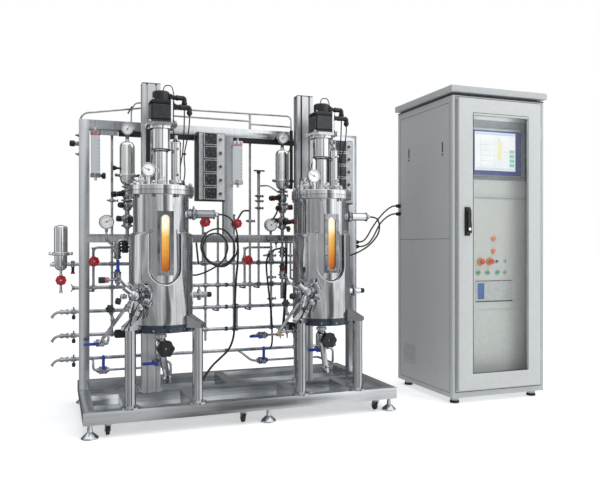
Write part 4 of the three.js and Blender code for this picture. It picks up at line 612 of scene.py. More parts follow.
        sweep(gasket, smooth_line([at(*p) for p in line], 5), 6, 10)
    turn(gasket, [(0, 0), (13, 0), (15, 4), (15, 18), (11, 24), (0, 24)], at(sx - 58, sy + 10, 606),
         (-1, 0, 0.2), 24, 6, 0.08)
    turn(gasket, [(0, 0), (9, 0), (17, 3), (18, 8), (17, 14), (9, 17), (0, 17)], at(-242, -134, 574),
         (-0.3, -0.9, 0.3), 48, 6, 0.14)
    turn(screws, [(0, 0), (6, 0), (6, 2), (4, 3), (0, 3)], at(-246, -146, 579), (-0.3, -0.9, 0.3), 12)
    turn(screws, [(0, 0), (11, 0), (11, 12), (7, 16), (7, 34), (10, 38), (10, 46), (5, 54), (0, 54)],
         at(-240, -126, 566), (0.2, 0.1, -1), 20)
    # The handle over it: a black and red knob on a bent arm, lying to the left on one vessel and upright on
    # the other.
    if letter == "a":
        knob, way = at(-250, -130, 703), Vector(LEFT)
        arms = [[(-250, -130, 703), (-222, -130, 704), (-206, -130, 714), (-190, -131, 694),
                 (-150, -136, 652)],
                [(-222, -118, 690), (-200, -120, 694), (-176, -124, 670), (-144, -130, 640)]]
    else:
        knob, way = at(-240, -78, 716), Vector(UP)
        arms = [[(-240, -78, 716), (-238, -80, 700), (-222, -84, 694), (-190, -96, 656), (-150, -130, 640)],
                [(-228, -70, 700), (-208, -76, 680), (-180, -90, 648), (-150, -124, 630)]]
    turn(gasket, [(0, 16), (13, 16), (14, 18), (14, 40), (12, 43), (0, 43)], knob, way, 40, 10, 0.04)
    turn(handles, [(0, 9), (12, 9), (13.4, 11), (13.4, 15.8), (0, 15.8)], knob, way, 28)
    turn(screws, [(0, -4), (9, -4), (12, 0), (12, 8.8), (0, 8.8)], knob, way, 24)
    for line in arms:
        sweep(screws, smooth_line([at(*p) for p in line], 5), 8, 12)
    sweep(screws, [at(-150, -149.3, 616), at(-279, -140.6, 440)], 15.5, 20)
    clamp_band(screws, at(*arms[0][2]), (1, 0, 0.1), 16, 9)
    # A dark actuator and a brass adaptor at the foot of the sampling line, behind the leg.
    slab(gasket, at(-218, -66, 434), at(-166, -30, 470), 4)
    stub(brass, at(-289, -136, 421), (1, 0.1, 0), 12.5, 24, 6)
    stub(brass, at(-266, -134, 421), (1, 0.1, 0), 9, 16, 20)
    piece("sight_frame_" + letter, frame_bars, FRAME_FACE)
    piece("jacket_shade_band_" + letter, shade_band, SHADE_BAND)
    piece("sight_rim_" + letter, rim, MIRROR)
    piece("sight_gasket_and_shadow_" + letter, gasket, TYRE)
    piece("vessel_fittings_" + letter, screws, CAST)
    piece("vessel_welds_" + letter, seams, WELD)
    piece("sampling_ring_" + letter, handles, RED)
    piece("sampling_adaptor_" + letter, brass, BRASS if letter == "b" else CAST)

# ---------------------------------------------------------------- drain valves
# Inclined seat valves under the cones, turned from 316L bar and polished. Each has a knurled knob of black
# phenolic on its spindle.

dress(["drain_valve_a", "drain_valve_b"], MIRROR)
dress(["drain_knob_a", "drain_knob_b"], BLACK)

# ---------------------------------------------------------------- lids
# Flat 22 mm lids turned from 316L plate and mirror polished, held by studs with domed nuts. Ports for probes,
# inoculation and exhaust are welded in and capped.

dress(["lid_a", "lid_b"], MIRROR)
LID_TOP = 1135.3


def dial_face():
    """A white enamelled gauge dial with a black scale round it, open at the foot. It gives a faint light of
    its own, a painted glow.
    """
    material, tree, where = finish_of("white enamelled dial with painted glow")
    flat = add(tree, "UVMap").outputs["UV"]
    centred = add(tree, "VectorMath", {0: flat, 1: (0.5, 0.5, 0.0)}, operation="SUBTRACT").outputs[0]
    parts = add(tree, "SeparateXYZ", {"Vector": centred}).outputs
    radius = add(tree, "VectorMath", {0: centred}, operation="LENGTH").outputs["Value"]
    angle = add(tree, "Math", {0: parts["Y"], 1: parts["X"]}, operation="ARCTAN2").outputs[0]
    teeth = add(tree, "Math", {0: angle, 1: 24.0}, operation="MULTIPLY").outputs[0]
    tick = add(tree, "Math", {0: add(tree, "Math", {0: teeth}, operation="COSINE").outputs[0], 1: 0.55},
               operation="GREATER_THAN").outputs[0]
    outer = add(tree, "Math", {0: radius, 1: 0.36}, operation="GREATER_THAN").outputs[0]
    inner = add(tree, "Math", {0: radius, 1: 0.42}, operation="LESS_THAN").outputs[0]
    ring = add(tree, "Math", {0: outer, 1: inner}, operation="MULTIPLY").outputs[0]
    gap = add(tree, "Math", {0: add(tree, "Math", {0: angle, 1: pi / 2}, operation="ADD").outputs[0]},
              operation="ABSOLUTE").outputs[0]
    open_below = add(tree, "Math", {0: gap, 1: 0.7}, operation="GREATER_THAN").outputs[0]
    marks = add(tree, "Math", {0: add(tree, "Math", {0: ring, 1: tick}, operation="MULTIPLY").outputs[0],
                               1: open_below}, operation="MULTIPLY").outputs[0]
    shade = add(tree, "MapRange", {"Value": grain(tree, where, (60, 60, 60)), **MIDDLE, "To Max": 0.08})
    dark = add(tree, "Math", {0: marks, 1: shade.outputs["Result"]}, operation="MAXIMUM").outputs[0]
    colour = add(tree, "ValToRGB", {"Fac": dark}, [
        (0.0, "#ffffff"), (0.1, "#f4f5f5"), (0.9, "#1a1c1e")]).outputs["Color"]
    # The dial's faint light of its own is painted glow.
    shader = add(tree, "BsdfPrincipled", {
        "Base Color": colour, "Emission Color": colour, "Emission Strength": 0.08, "Roughness": 0.25,
        "IOR": 1.5})
    add(tree, "OutputMaterial", {"Surface": shader.outputs[0]})
    return material


GLOWING_DIAL = dial_face()
GAUGE_GLASS = clear_glass("gauge glass", "#ffffff", 0.03)


def gauge(name, at, radius, body, reading, deep=3.0):
    """A pressure gauge's bezel, dial, pointer and glass on the front of its case. at is its face's centre."""
    bezel, glass, pointer = bmesh.new(), bmesh.new(), bmesh.new()
    turn(bezel, [(radius - 4.5, -deep), (radius + 1, -deep), (radius + 1, 1.5), (radius - 1, 3.2),
                 (radius - 4.5, 3.2), (radius - 4.5, -deep)], at, FRONT, 40)
    piece(name + "_bezel", bezel, MIRROR, body)
    face = bmesh.new()
    uv = face.loops.layers.uv.new("dial")
    disc = face.faces.new([face.verts.new(at + Vector((x, 0, z)) / 1000) for x, z in about(40, radius - 4)])
    for loop in disc.loops:
        offset = (loop.vert.co - at) / ((radius - 4) / 1000)
        loop[uv].uv = (0.5 + offset.x / 2, 0.5 + offset.z / 2)
    back = bmesh.ops.extrude_face_region(face, geom=[disc])["geom"]
    for vert in back:
        if isinstance(vert, bmesh.types.BMVert):
            vert.co.y += 0.0006
    piece(name + "_dial", face, GLOWING_DIAL, body)
    heading = radians(225 - reading * 270)
    way, lift = Vector((cos(heading), 0, sin(heading))) * radius / 1000, Vector((0, -0.0012, 0))
    sweep(pointer, [at - way * 0.22 + lift, at + way * 0.7 + lift], radius * 0.05, 6)
    stub(pointer, at, FRONT, radius * 0.22, 2.2, 16, 0.4)
    piece(name + "_pointer", pointer, BLACK, body)
    turn(glass, [(0, 1.9), (radius - 4.8, 1.9), (radius - 4.8, 2.7), (0, 2.7)], at, FRONT, 40)
    piece(name + "_glass", glass, GAUGE_GLASS, body)


for letter in "ab":
    body = "lid_assembly_" + letter
    studs, caps, tubes, shell = [bmesh.new() for _ in range(4)]
    for x, y in about(8, 140, 22.5):
        base = by_vessel(letter, x, y, LID_TOP - 0.5)
        stub(studs, base, UP, 24, 2.5, 24, 0.6)
        stub(studs, base + Vector((0, 0, 0.0025)), UP, 19, 8, 6, 1.5)
        turn(studs, [(8.5, 0), (8.5, 2), (6, 7), (0, 9)], base + Vector((0, 0, 0.0105)), sides=20)
    # Capped ports, each with its clamp band and a knurled cap.
    for a, r, width, height in ((-160, 100, 36, 46), (-95, 100, 30, 38), (-55, 95, 32, 42),
                                (150, 98, 36, 54), (48, 112, 30, 48)):
        at = by_vessel(letter, r * cos(radians(a)), r * sin(radians(a)), LID_TOP - 1)
        h, w = height, width / 2
        turn(caps, [(0, 0), (w, 0), (w, 3), (w - 5, 5), (w - 5, h * 0.45), (w + 1, h * 0.48),
                    (w + 1, h * 0.62), (w - 3, h * 0.66), (w - 3, h - 2), (w - 5, h), (0, h)], at, sides=28)
        ear = Vector((cos(radians(a)), sin(radians(a)), 0))
        stub(caps, at + ear * (w - 2) / 1000 + Vector((0, 0, h * 0.55 / 1000)), ear, 8, 16, 12)
    # The condenser's own jacket: a welded shell with end rings and two water stubs.
    turn(shell, [(0, LID_TOP + 28), (32, LID_TOP + 28), (32, LID_TOP + 20), (34, LID_TOP + 19),
                 (34, LID_TOP + 33), (23.4, LID_TOP + 36), (23.4, 1344), (24.4, 1345), (24.4, 1350),
                 (22, 1353), (9, 1369), (9, 1384), (6, 1386), (0, 1386)], by_vessel(letter, 73, 10, 0),
         sides=36)
    for z in (LID_TOP + 58, 1318):
        stub(shell, by_vessel(letter, 73, -10, z), (0.5, -1, 0), 11, 22, 16)
    # A thin air line over the motor and a short one at the column.
    for points in ([(20, 66, 1450), (18, 66, 1600), (30, 62, 1632), (56, 58, 1632), (68, 56, 1600),
                    (68, 52, 1500), (68, 44, 1400), (70, 22, 1380)],
                   [(-70, 60, LID_TOP), (-70, 60, 1180), (-48, 58, 1215), (-38, 52, 1260),
                    (-38, 30, 1290)]):
        sweep(tubes, smooth_line([by_vessel(letter, *p) for p in points], 5), 5, 10)
    piece("lid_studs_" + letter, studs, MIRROR, body)
    piece("lid_ports_" + letter, caps, MIRROR, body)
    piece("condenser_shell_" + letter, shell, MIRROR, body)
    piece("air_lines_" + letter, tubes, PVC, body)
    gauge("lid_gauge_" + letter, by_vessel(letter, -66, -64.4, 1208), 33, body, 0.25)

# ---------------------------------------------------------------- drives
# On each lid a polished housing carries the shaft seal, and a square servo motor with its encoder stands on a
# bright adaptor plate. The motor is die-cast and stove enamelled black, its corners rounded.

dress(["drive_housing_a", "drive_housing_b", "agitator_a", "agitator_b"], MIRROR)
MOTOR_PAINT = moulding("black stove enamel", "#1d2125", "#2b3035", (0.3, 0.42), 0.4, 700, 0.0001)
# The pale strip on each motor's front is a painted highlight.
MOTOR_HIGHLIGHT = moulding("pale painted highlight strip", "#dfe2e4", "#eff1f2", (0.3, 0.4))
MOTOR_LOW, MOTOR_HIGH, ENCODER_HIGH = 1434.3, 1541.3, 1588
half = 55   # half the motor's width
# Each lead leaves at a connector: how far it reaches out from the drive's axis, its Y and its height.
CONNECTORS = {"encoder": (121, -6, 1563), "power": (143, -20, 1517)}
for letter in "ab":
    body = "lid_assembly_" + letter
    at = lambda x, y, z: by_vessel(letter, x, y, z)
    casting, cover, gasket, screws, plugs = [bmesh.new() for _ in range(5)]
    slab(casting, at(-half, -half, MOTOR_LOW), at(half, half, MOTOR_LOW + 11), 2)
    slab(casting, at(-half + 1.5, -half + 1.5, MOTOR_LOW + 9),
         at(half - 1.5, half - 1.5, MOTOR_HIGH - 13), 9)
    slab(casting, at(-half, -half, MOTOR_HIGH - 16), at(half, half, MOTOR_HIGH), 8)
    for z in (MOTOR_LOW + 13, MOTOR_HIGH - 17):
        slab(plugs, at(-half + 0.7, -half + 0.7, z - 1.2), at(half - 0.7, half - 0.7, z + 1.2), 1)
    for sx in (-1, 1):
        for sy in (-1, 1):
            stub(screws, at(sx * 60, sy * 60, 1433.5), UP, 13, 8, 24, 1.5)
            turn(screws, [(0, 0), (3, 0), (3, 1)], at(sx * 60, sy * 60, 1442), sides=6)
            stub(screws, at(sx * 43, sy * 43, MOTOR_HIGH - 1), UP, 9, 6, 16)
    # A pale strip up the motor's front: a painted highlight.
    strip = bmesh.new()
    slab(strip, at(38, -half - 0.9, MOTOR_LOW + 2), at(47, -half + 1, MOTOR_HIGH - 2), 0.8)
    piece("motor_highlight_strip_" + letter, strip, MOTOR_HIGHLIGHT, body)
    turn(cover, [(0, MOTOR_HIGH - 2), (42.5, MOTOR_HIGH - 2), (42.5, MOTOR_HIGH + 4),
                 (40.5, MOTOR_HIGH + 6), (40.5, ENCODER_HIGH - 9), (39, ENCODER_HIGH - 4),
                 (34, ENCODER_HIGH - 0.5), (0, ENCODER_HIGH)],
         at(0, 0, 0), sides=56)
    for x, y in about(4, 38, 45):
        stub(cover, at(x, y, MOTOR_HIGH), UP, 9, 40, 16, 2)
    for use, (reach, y, z) in CONNECTORS.items():
        start = 38 if use == "encoder" else 52
        slab(plugs, at(start, y - 15, z - 15), at(start + 12, y + 15, z + 15), 3)
        turn(plugs, [(0, 0), (13, 0), (13, 6), (11, 8), (11, 22), (13, 24), (13, 32), (11.6, 34),
                     (11.6, reach - start - 22), (0, reach - start - 22)], at(start + 9, y, z), RIGHT, 24,
             12, 0.02)
        sweep(plugs, bent([at(reach - 32, y, z), at(reach - 11, y, z), at(reach - 11, y, z - 24)], 13),
              23, 20)
        turn(plugs, [(0, 0), (12.8, 0), (13.2, 2), (13.2, 8), (11.5, 12), (6.5, 19), (0, 19)],
             at(reach - 11, y, z - 20), DOWN, 24, 12, 0.03)
    turn(gasket, [(40, 1309), (46.5, 1309), (46.5, 1313), (40, 1313), (40, 1309)], at(0, 0, 0), sides=48)
    turn(gasket, [(31, 1300), (33, 1300), (33, 1303), (31, 1303), (31, 1300)], at(0, 0, 0), sides=48)
    for x, y in about(6, 58, 30):
        stub(screws, at(x, y, 1412), UP, 9, 9, 6)
    piece("motor_" + letter, casting, MOTOR_PAINT, body, 30, "drive_motor_" + letter)
    piece("encoder_" + letter, cover, BLACK, body, 30)
    piece("drive_gasket_" + letter, gasket, TYRE, body)
    piece("drive_screws_" + letter, screws, MIRROR, body)
    piece("motor_connectors_" + letter, plugs, BLACK, body)

# The motor and encoder leads: black PVC, 6 mm, from the plugs down to a tie beside the lid, then to two
# sockets at the lid's right edge.
MOTOR_LEAD_OD = 6
MOTOR_LEADS = {
    "encoder": [(110, -6, 1524), (110, -6, 1500), (110, -4, 1460), (109, 0, 1400), (107, 4, 1345),
                (104, 8, 1300), (98, 12, 1262), (93, 16, 1225), (93, 20, 1190), (96, 24, 1165)],
    "power": [(132, -20, 1478), (132, -20, 1455), (130, -18, 1420), (124, -13, 1375), (116, -6, 1330),
              (111, 0, 1296), (112, 6, 1262), (116, 12, 1228), (116, 18, 1195), (112, 24, 1165)],
}
for letter in "ab":
    sockets = bmesh.new()
    for use, points in MOTOR_LEADS.items():
        line = smooth_line([by_vessel(letter, *p) for p in points], 4)
        flexible("motor_lead_" + use + "_" + letter, line, MOTOR_LEAD_OD, "lid_assembly_" + letter)
        x, y, z = points[-1]
        turn(sockets, [(0, -32), (9, -32), (9, -14), (6.5, -12), (6.5, -4), (4.5, 2), (0, 2)],
             by_vessel(letter, x, y, z), UP, 16)
    stub(sockets, by_vessel(letter, 112, 3, 1293), (0.05, 0, 1), 17, 8, 16)
    piece("lead_sockets_" + letter, sockets, BLACK, "lid_assembly_" + letter)

# ---------------------------------------------------------------- lift columns
# Slotted aluminium extrusions that stand behind the vessels and guide the lid carriages. They are sawn to
# length and clear anodised: silver, with fine lines up them.


def anodised():
    """Clear anodised aluminium: satin silver with extrusion lines up it, drawn some ten times too coarse."""
    material, tree, where = finish_of("clear anodised aluminium")
    lines = grain(tree, where, (700, 700, 2), 2)
    bump = add(tree, "Bump", {"Height": lines, "Strength": 0.25, "Distance": 0.0003})
    colour = add(tree, "ValToRGB", {"Fac": lines}, [(0.3, "#d6d9dc"), (0.7, "#f0f2f3")])
    sheen = add(tree, "MapRange", {"Value": lines, **MIDDLE, "To Min": 0.3, "To Max": 0.44})
    shader = add(tree, "BsdfPrincipled", {
        "Base Color": colour.outputs["Color"], "Roughness": sheen.outputs["Result"], "Metallic": 1.0,
        "Normal": bump.outputs["Normal"]})
    add(tree, "OutputMaterial", {"Surface": shader.outputs[0]})
    return material


ANODISED = anodised()
dress(["lift_column_a", "lift_column_b"], ANODISED)
# The left front slot carries the lift belt, black rubber with a steel cord, moulded in steps.
for letter in "ab":
    belt, ends = bmesh.new(), bmesh.new()
    left, right, high = (-46, -26, 1440) if letter == "a" else (-45, -38, 1655)
    if letter == "b":
        # The cable chain that hangs from the top beam behind the column.
        slab(belt, by_vessel(letter, -82, 250, 1168), by_vessel(letter, -67, 266, 1490), 2)
    slab(belt, by_vessel(letter, left, 184.2, 1170), by_vessel(letter, right, 186, high), 0.5)
    for k in range((high - 1176) // 20):
        slab(belt, by_vessel(letter, left + 1, 183.6, 1176 + 20 * k),
             by_vessel(letter, right - 1, 185, 1186 + 20 * k), 0.4)
    slab(ends, by_vessel(letter, -66, 184, 1666.6), by_vessel(letter, 26, 246, 1671), 2)
    for side in (-42, 2):
        stub(ends, by_vessel(letter, side, 215, 1670), UP, 11, 3, 20)
    piece("lift_belt_" + letter, belt, TYRE)
    piece("column_cap_" + letter, ends, BLACK)

# ---------------------------------------------------------------- back frame
# Two bays of welded 50 mm square tube that stand on the base and carry the pipework and the pump panels.
# Its finish is the base's, with the grain up the posts.

BUFFED_POST = steel("buffed 304 post", ("#bcc0c5", "#d0d3d6"), (0.14, 0.26), (90, 90, 3), 0.0002)
dress(["back_frame"], BUFFED_POST, 4)

# A black PVC cable duct is clipped along the top beam's underside, with open slots in its front.
DUCT_LOW, DUCT_HIGH, DUCT_FRONT = 1427, 1449, 493
duct, clips = bmesh.new(), bmesh.new()
for x0, x1 in ((196, 746), (806, 1322)):
    slab(duct, spot(x0, DUCT_FRONT, DUCT_LOW), spot(x1, 532, DUCT_HIGH), 1)
    for k in range(int((x1 - x0) / 10)):
        slab(duct, spot(x0 + 3 + 10 * k, DUCT_FRONT - 1.5, DUCT_LOW + 2),
             spot(x0 + 9 + 10 * k, DUCT_FRONT + 2, DUCT_HIGH - 2), 0.4)
slab(clips, spot(56, 494, 1440), spot(190, 530, 1449), 1)
slab(clips, spot(56, 492, 1424), spot(190, 497, 1449), 1)
piece("cable_duct", duct, BLACK)
piece("duct_end_plate", clips, BUFFED_POST)

# ---------------------------------------------------------------- process pipework
# Steam, water and gas headers in bright-annealed 19 mm tube with 13 mm risers and branches, bent and
# butt-welded, with diaphragm and ball valves let in. Bright tube mirrors the room in thin lines.

BRIGHT_TUBE = steel("bright annealed tube", ("#9ea2a7", "#cdd0d4"), (0.08, 0.18), (30, 30, 30), 0.0004)
PIPE_Y, BRANCH_Y, UNDER_Y, SAMPLING_Y = 549.8, 460, 240, 430
HEADERS = [272, 394, 516, 638, 760]
HEADER_OD, BRANCH_OD, VENT_OD = 19, 13, 10
# Each riser's X, its lower and upper ends.
RISERS = [(661, 332, 929), (731, 502, 1035), (775, 760, 935), (838, 380, 516), (915, 502, 1600),
          (966, 624, 1130), (1040, 394, 850), (72, 624, 846), (884, 624, 846), (822, 394, 1030),
          (165, 394, 1440), (358, 272, 394), (1181, 272, 394), (647, 760, 1010)]
LOOPS = [[(72, 700, PIPE_Y), (72, 846, PIPE_Y), (165, 846, PIPE_Y)],
         [(884, 700, PIPE_Y), (884, 846, PIPE_Y), (1040, 846, PIPE_Y)]]
BRANCHES = [
    [(66, PIPE_Y, 272), (66, 460, 272), (66, 460, 222), (421, 460, 222), (421, 240, 222), (421, 240, 285),
     (332, 240, 285)],
    [(840, PIPE_Y, 272), (840, 460, 272), (900, 460, 222), (1290, 460, 222), (1290, 240, 222),
     (1290, 240, 305), (1186, 240, 305)],
    [(140, PIPE_Y, 394), (140, 460, 394), (140, 460, 361), (72, 460, 361)],
    [(1058, PIPE_Y, 394), (1058, 460, 394), (1058, 460, 361), (900, 460, 361)],
    [(185, PIPE_Y, 638), (185, 460, 638), (185, 460, 882), (234, 460, 882), (234, 460, 907)],
    [(1077, PIPE_Y, 638), (1077, 460, 638), (1077, 460, 907)],
]
VENTS = [
    [(8, PIPE_Y, 760), (8, PIPE_Y, 1516), (30, PIPE_Y, 1542), (358, PIPE_Y, 1594), (1161, PIPE_Y, 1600),
     (1161, PIPE_Y, 1410), (1121, PIPE_Y, 1370)],
    [(358, PIPE_Y, 1558), (915, PIPE_Y, 1556)], [(915, PIPE_Y, 1540), (1161, PIPE_Y, 1538)],
    [(358, PIPE_Y, 1594), (358, PIPE_Y, 1558)],
]
tubes, fittings, dark = [bmesh.new() for _ in range(3)]
for row, z in enumerate(HEADERS):
    left = -24 if row == 3 else -62
    sweep(tubes, [spot(left, PIPE_Y, z), spot(700, PIPE_Y, z), spot(1440, PIPE_Y, z)], HEADER_OD, 20)
    slab(fittings, spot(14, 540.2, z - 12), spot(36, 546, z + 12), 1.5)
    sweep(fittings, smooth_line([spot(25, 541, z - 14), spot(25, 556, z - 12), spot(25, 563, z),
                                 spot(25, 556, z + 12), spot(25, 541, z + 14)], 4), 5, 8)
    slab(fittings, spot(769, 540.2, z - 12), spot(785, 551, z + 12), 1.5)
for x, low, high in RISERS:
    sweep(tubes, [spot(x, PIPE_Y, low), spot(x, PIPE_Y, high)], BRANCH_OD, 16)
    stub(fittings, spot(x, PIPE_Y, high - 9), UP, 18, 10, 20, 2)
    # A short tee collar where the riser meets each header, and a clamp's tail under its foot.
    for z in HEADERS:
        if low - 2 < z < high + 2:
            stub(fittings, spot(x, PIPE_Y, z - 15), UP, 16, 30, 20, 1.5)
            stub(fittings, spot(x - 15, PIPE_Y, z), RIGHT, 22, 30, 20, 1.5)
    if low in (502, 624):
        sweep(dark, [spot(x - 32, PIPE_Y - 4, low + 2), spot(x - 12, PIPE_Y - 6, low - 4),
                     spot(x + 4, PIPE_Y - 4, low - 5)], 8, 10)
for points in LOOPS:
    sweep(tubes, bent([spot(x, y, z) for x, z, y in points], 26), BRANCH_OD, 16)
for points in BRANCHES:
    sweep(tubes, bent([spot(*p) for p in points], 24), BRANCH_OD, 16)
for points in VENTS:
    sweep(tubes, bent([spot(*p) for p in points], 30), VENT_OD, 14)

# Diaphragm valves: a forged body on the riser, a bolted bonnet to the front and the spindle that its
# handwheel turns on.
WHEEL_AT = {"steam_filter": (-87, 682), "left": (72, 775), "centre_left": (647, 983),
            "centre_right": (822, 977), "centre_low": (884, 775)}
WHEEL_Y = 474


def diaphragm_valve(mesh, x, z):
    """The body, bonnet, bonnet bolts and spindle of a valve on a riser."""
    turn(mesh, [(0, -26), (9, -26), (9.5, -24), (9.5, -17), (13, -13), (16, -6), (16, 6), (13, 13),
                (9.5, 17), (9.5, 24), (9, 26), (0, 26)], spot(x, PIPE_Y, z), sides=24)
    turn(mesh, [(0, 0), (19, 0), (20, 1), (20, 7), (19, 8), (15, 10), (13, 22), (9, 27), (9, 40), (4.4, 41),
                (4.4, 84), (3.4, 86), (0, 86)], spot(x, PIPE_Y - 10, z), FRONT, 28)
    for across, up in about(4, 15, 45):
        stub(mesh, spot(x + across, PIPE_Y - 8, z + up), FRONT, 6.5, 14, 6)


for wheel, (x, z) in WHEEL_AT.items():
    if wheel != "steam_filter":
        diaphragm_valve(fittings, x, z)

# Ball valves: three-piece bodies held by four long bolts, hexagon ends, and a stem to the front.
LEVER_AT = {"left_upper": (185, BRANCH_Y, 702), "left_middle": (100, BRANCH_Y, 361),
            "left_low": (114, BRANCH_Y, 222), "centre_middle": (959, BRANCH_Y, 361),
            "centre_low": (959, BRANCH_Y, 222), "under_a": (360, UNDER_Y, 285),
            "under_b": (1215, UNDER_Y, 305)}


def ball_valve(mesh, place, run):
    """A ball valve's body about a place in metres, along a direction."""
    run = Vector(run)
    for end in (-1, 1):
        stub(mesh, place + run * (end * 31 if end < 0 else 19) / 1000, run, 27, 12, 6)
        turn(mesh, [(0, -2.5), (20, -2.5), (20.6, -1.5), (20.6, 1.5), (20, 2.5), (0, 2.5)],
             place + run * end * 15 / 1000, run, 28)
    turn(mesh, [(0, -13), (16, -13), (17.5, -8), (17.5, 8), (16, 13), (0, 13)], place, run, 28)
    across = run.cross(Vector((0, 1, 0)))
    for sx in (-1, 1):
        for sy in (-1, 1):
            stub(mesh, place + (across * sx * 14 + Vector((0, sy * 14, 0))) / 1000 - run * 0.021, run,
                 5, 42, 8)
    stub(mesh, place + Vector((0, -0.012, 0)), FRONT, 16, 8, 6)
    stub(mesh, place + Vector((0, -0.018, 0)), FRONT, 9, 15, 16)


for lever, place in LEVER_AT.items():
    ball_valve(fittings, spot(*place), UP if lever == "left_upper" else RIGHT)

# Hose inlets at the left: a cross handle, a union and a braided hose tail that droops outwards.
HOSE = steel("stainless braid", ("#8d9195", "#b9bcbf"), (0.3, 0.45), (400, 400, 400), 0.0002,
             (300, 300, 300))
braid = bmesh.new()
for z in HEADERS[:3]:
    turn(fittings, [(0, 0), (15, 0), (16, 1.5), (16, 9), (14, 11), (11, 12), (11, 26), (14, 28), (14, 38),
                    (9, 41), (9, 46), (0, 46)],
         spot(-50, PIPE_Y, z), LEFT, 6)
    stub(fittings, spot(-12, PIPE_Y, z), LEFT, 25, 9, 24)
    stub(fittings, spot(-30, PIPE_Y, z), LEFT, 25, 9, 24)
    turn(fittings, [(0, 24), (4, 24), (4, 12), (9, 10), (9, -10), (5, -12), (5, -18), (8, -20), (8, -38),
                    (6, -40), (0, -40)],
         spot(-25, PIPE_Y, z), sides=20)
    turn(dark, [(0, -20), (8.6, -20), (9, -22), (9, -36), (7, -39), (0, -39)], spot(-25, PIPE_Y, z),
         sides=20)
    sweep(braid, smooth_line([spot(-92, PIPE_Y, z), spot(-106, PIPE_Y, z - 3), spot(-120, PIPE_Y, z - 12),
                              spot(-131, PIPE_Y, z - 27)], 5), 14, 16)
    turn(fittings, [(0, 0), (8.4, 0), (8.4, 5), (0, 5)], spot(-129, PIPE_Y, z - 25), (-0.6, 0, -0.8), 20)
# The fourth header ends in a wing-nut cock, and the top one in a small drain with a red tip by the filter.
turn(fittings, [(0, 0), (12, 0), (12, 5), (7, 7), (7, 14), (0, 14)], spot(-20, PIPE_Y, 638), LEFT, 20)
for way in (-1, 1):
    sweep(fittings, [spot(-24, PIPE_Y, 638), spot(-34, PIPE_Y - 2, 638 + way * 13),
                     spot(-38, PIPE_Y - 2, 638 + way * 20)], 6, 10)
stub(fittings, spot(-29, PIPE_Y - 2, 778), DOWN, 20, 34, 24, 3)
stub(dark, spot(-29, PIPE_Y - 3, 748), DOWN, 15, 26, 20, 2)
stub(dark, spot(-29, PIPE_Y - 3, 722), DOWN, 18, 6, 20, 2)
tips = bmesh.new()
stub(tips, spot(-29, PIPE_Y - 3, 718), DOWN, 21, 8, 20, 2)

# Clamped joints on the risers that pass the middle beam, with tee handles.
for x, z in ((915, 994), (966, 1068), (966, 1136), (966, 1108), (1040, 676), (1040, 554), (1040, 800),
             (165, 1092)):
    clamp_band(fittings, spot(x, PIPE_Y, z), UP, 20 if x != 966 else 17, 10)
    sweep(dark if z in (1136, 994) else fittings,
          [spot(x - 27, PIPE_Y - 14, z), spot(x + 27, PIPE_Y - 14, z)], 6, 10)
stub(fittings, spot(966, PIPE_Y, 1120), UP, 16, 150, 20)
turn(dark, [(0, 0), (9, 0), (11, 3), (11, 12), (7, 18), (0, 18)], spot(966, PIPE_Y, 1262), sides=20)
sweep(dark, [spot(938, PIPE_Y - 3, 1279), spot(1000, PIPE_Y - 3, 1279)], 9, 12)
sweep(tubes, bent([spot(966, PIPE_Y, 1193), spot(1010, 500, 1193), spot(1062, 468, 1150)], 20), 9, 12)

# Pressure gauges before the middle beam, each on a siphon tube.
for at, foot, reading in (((130, 434, 976), (185, 800), 0.72), ((1005, 434, 970), (1077, 850), 0.7)):
    x, y, z = at
    sweep(tubes, bent([spot(x, 448, z - 30), spot(x, 448, z - 92), spot(foot[0], 455, foot[1] + 30),
                       spot(foot[0], 458, foot[1])], 26), 10, 14)
    stub(fittings, spot(x, 448, z - 52), UP, 15, 20, 6)
    turn(fittings, [(0, 0), (30, 0), (36, 4), (37, 8), (37, 22), (33, 24), (0, 24)],
         spot(x, 460, z), FRONT, 48)
    gauge("beam_gauge_" + ("left" if x < 500 else "right"), spot(x, 434.5, z), 36 if x < 500 else 34,
          "stand", reading)

# The sampling and condensate runs before vessel B: bright tubes, a valve train at its left and a brass cock.
for line in ([(1001, 875), (1154, 875)], [(1115, 872), (1115, 669)], [(1140, 872), (1140, 647)],
             [(1115, 676), (1140, 660)]):
    sweep(tubes, bent([spot(x, SAMPLING_Y, z) for x, z in line], 18), 11, 14)
sweep(tubes, bent([spot(1001, SAMPLING_Y, 876), spot(1001, SAMPLING_Y, 820), spot(996, 500, 800),
                   spot(996, 545, 800)], 18), 11, 14)
for x, z in ((1115, 800), (1140, 720), (1030, 875), (1090, 875)):
    clamp_band(fittings, spot(x, SAMPLING_Y, z), UP if z != 875 else RIGHT, 14, 9)
for x in (930, 966, 1000):
    clamp_band(fittings, spot(x, 60, 430), RIGHT, 16, 9)
stub(fittings, spot(922, 60, 430), RIGHT, 15, 96, 20, 2)
stub(fittings, spot(966, 60, 432), UP, 20, 34, 6, 2)
stub(dark, spot(966, 60, 466), UP, 26, 12, 24, 3)
gold = bmesh.new()
turn(gold, [(0, -16), (9, -16), (9, -8), (13, -5), (13, 5), (9, 8), (9, 16), (0, 16)], spot(1107, 440, 948),
     sides=6)
stub(gold, spot(1107, 432, 948), FRONT, 11, 14, 20)
# A black rubber elbow from the riser's top to the red valve beside it, on two tails.
sweep(dark, bent([spot(834, 542, 990), spot(872, 546, 1052), spot(915, 549, 1052),
                  spot(915, 549, 1028)], 22), 10, 14)
sweep(fittings, [spot(1040 + x, 538, 640 + z) for x, z in about(24, 15) + [(15, 0)]], 4.5, 8)
sweep(tubes, [spot(1077, 460, 560), spot(1077, 460, 650)], 22, 24)

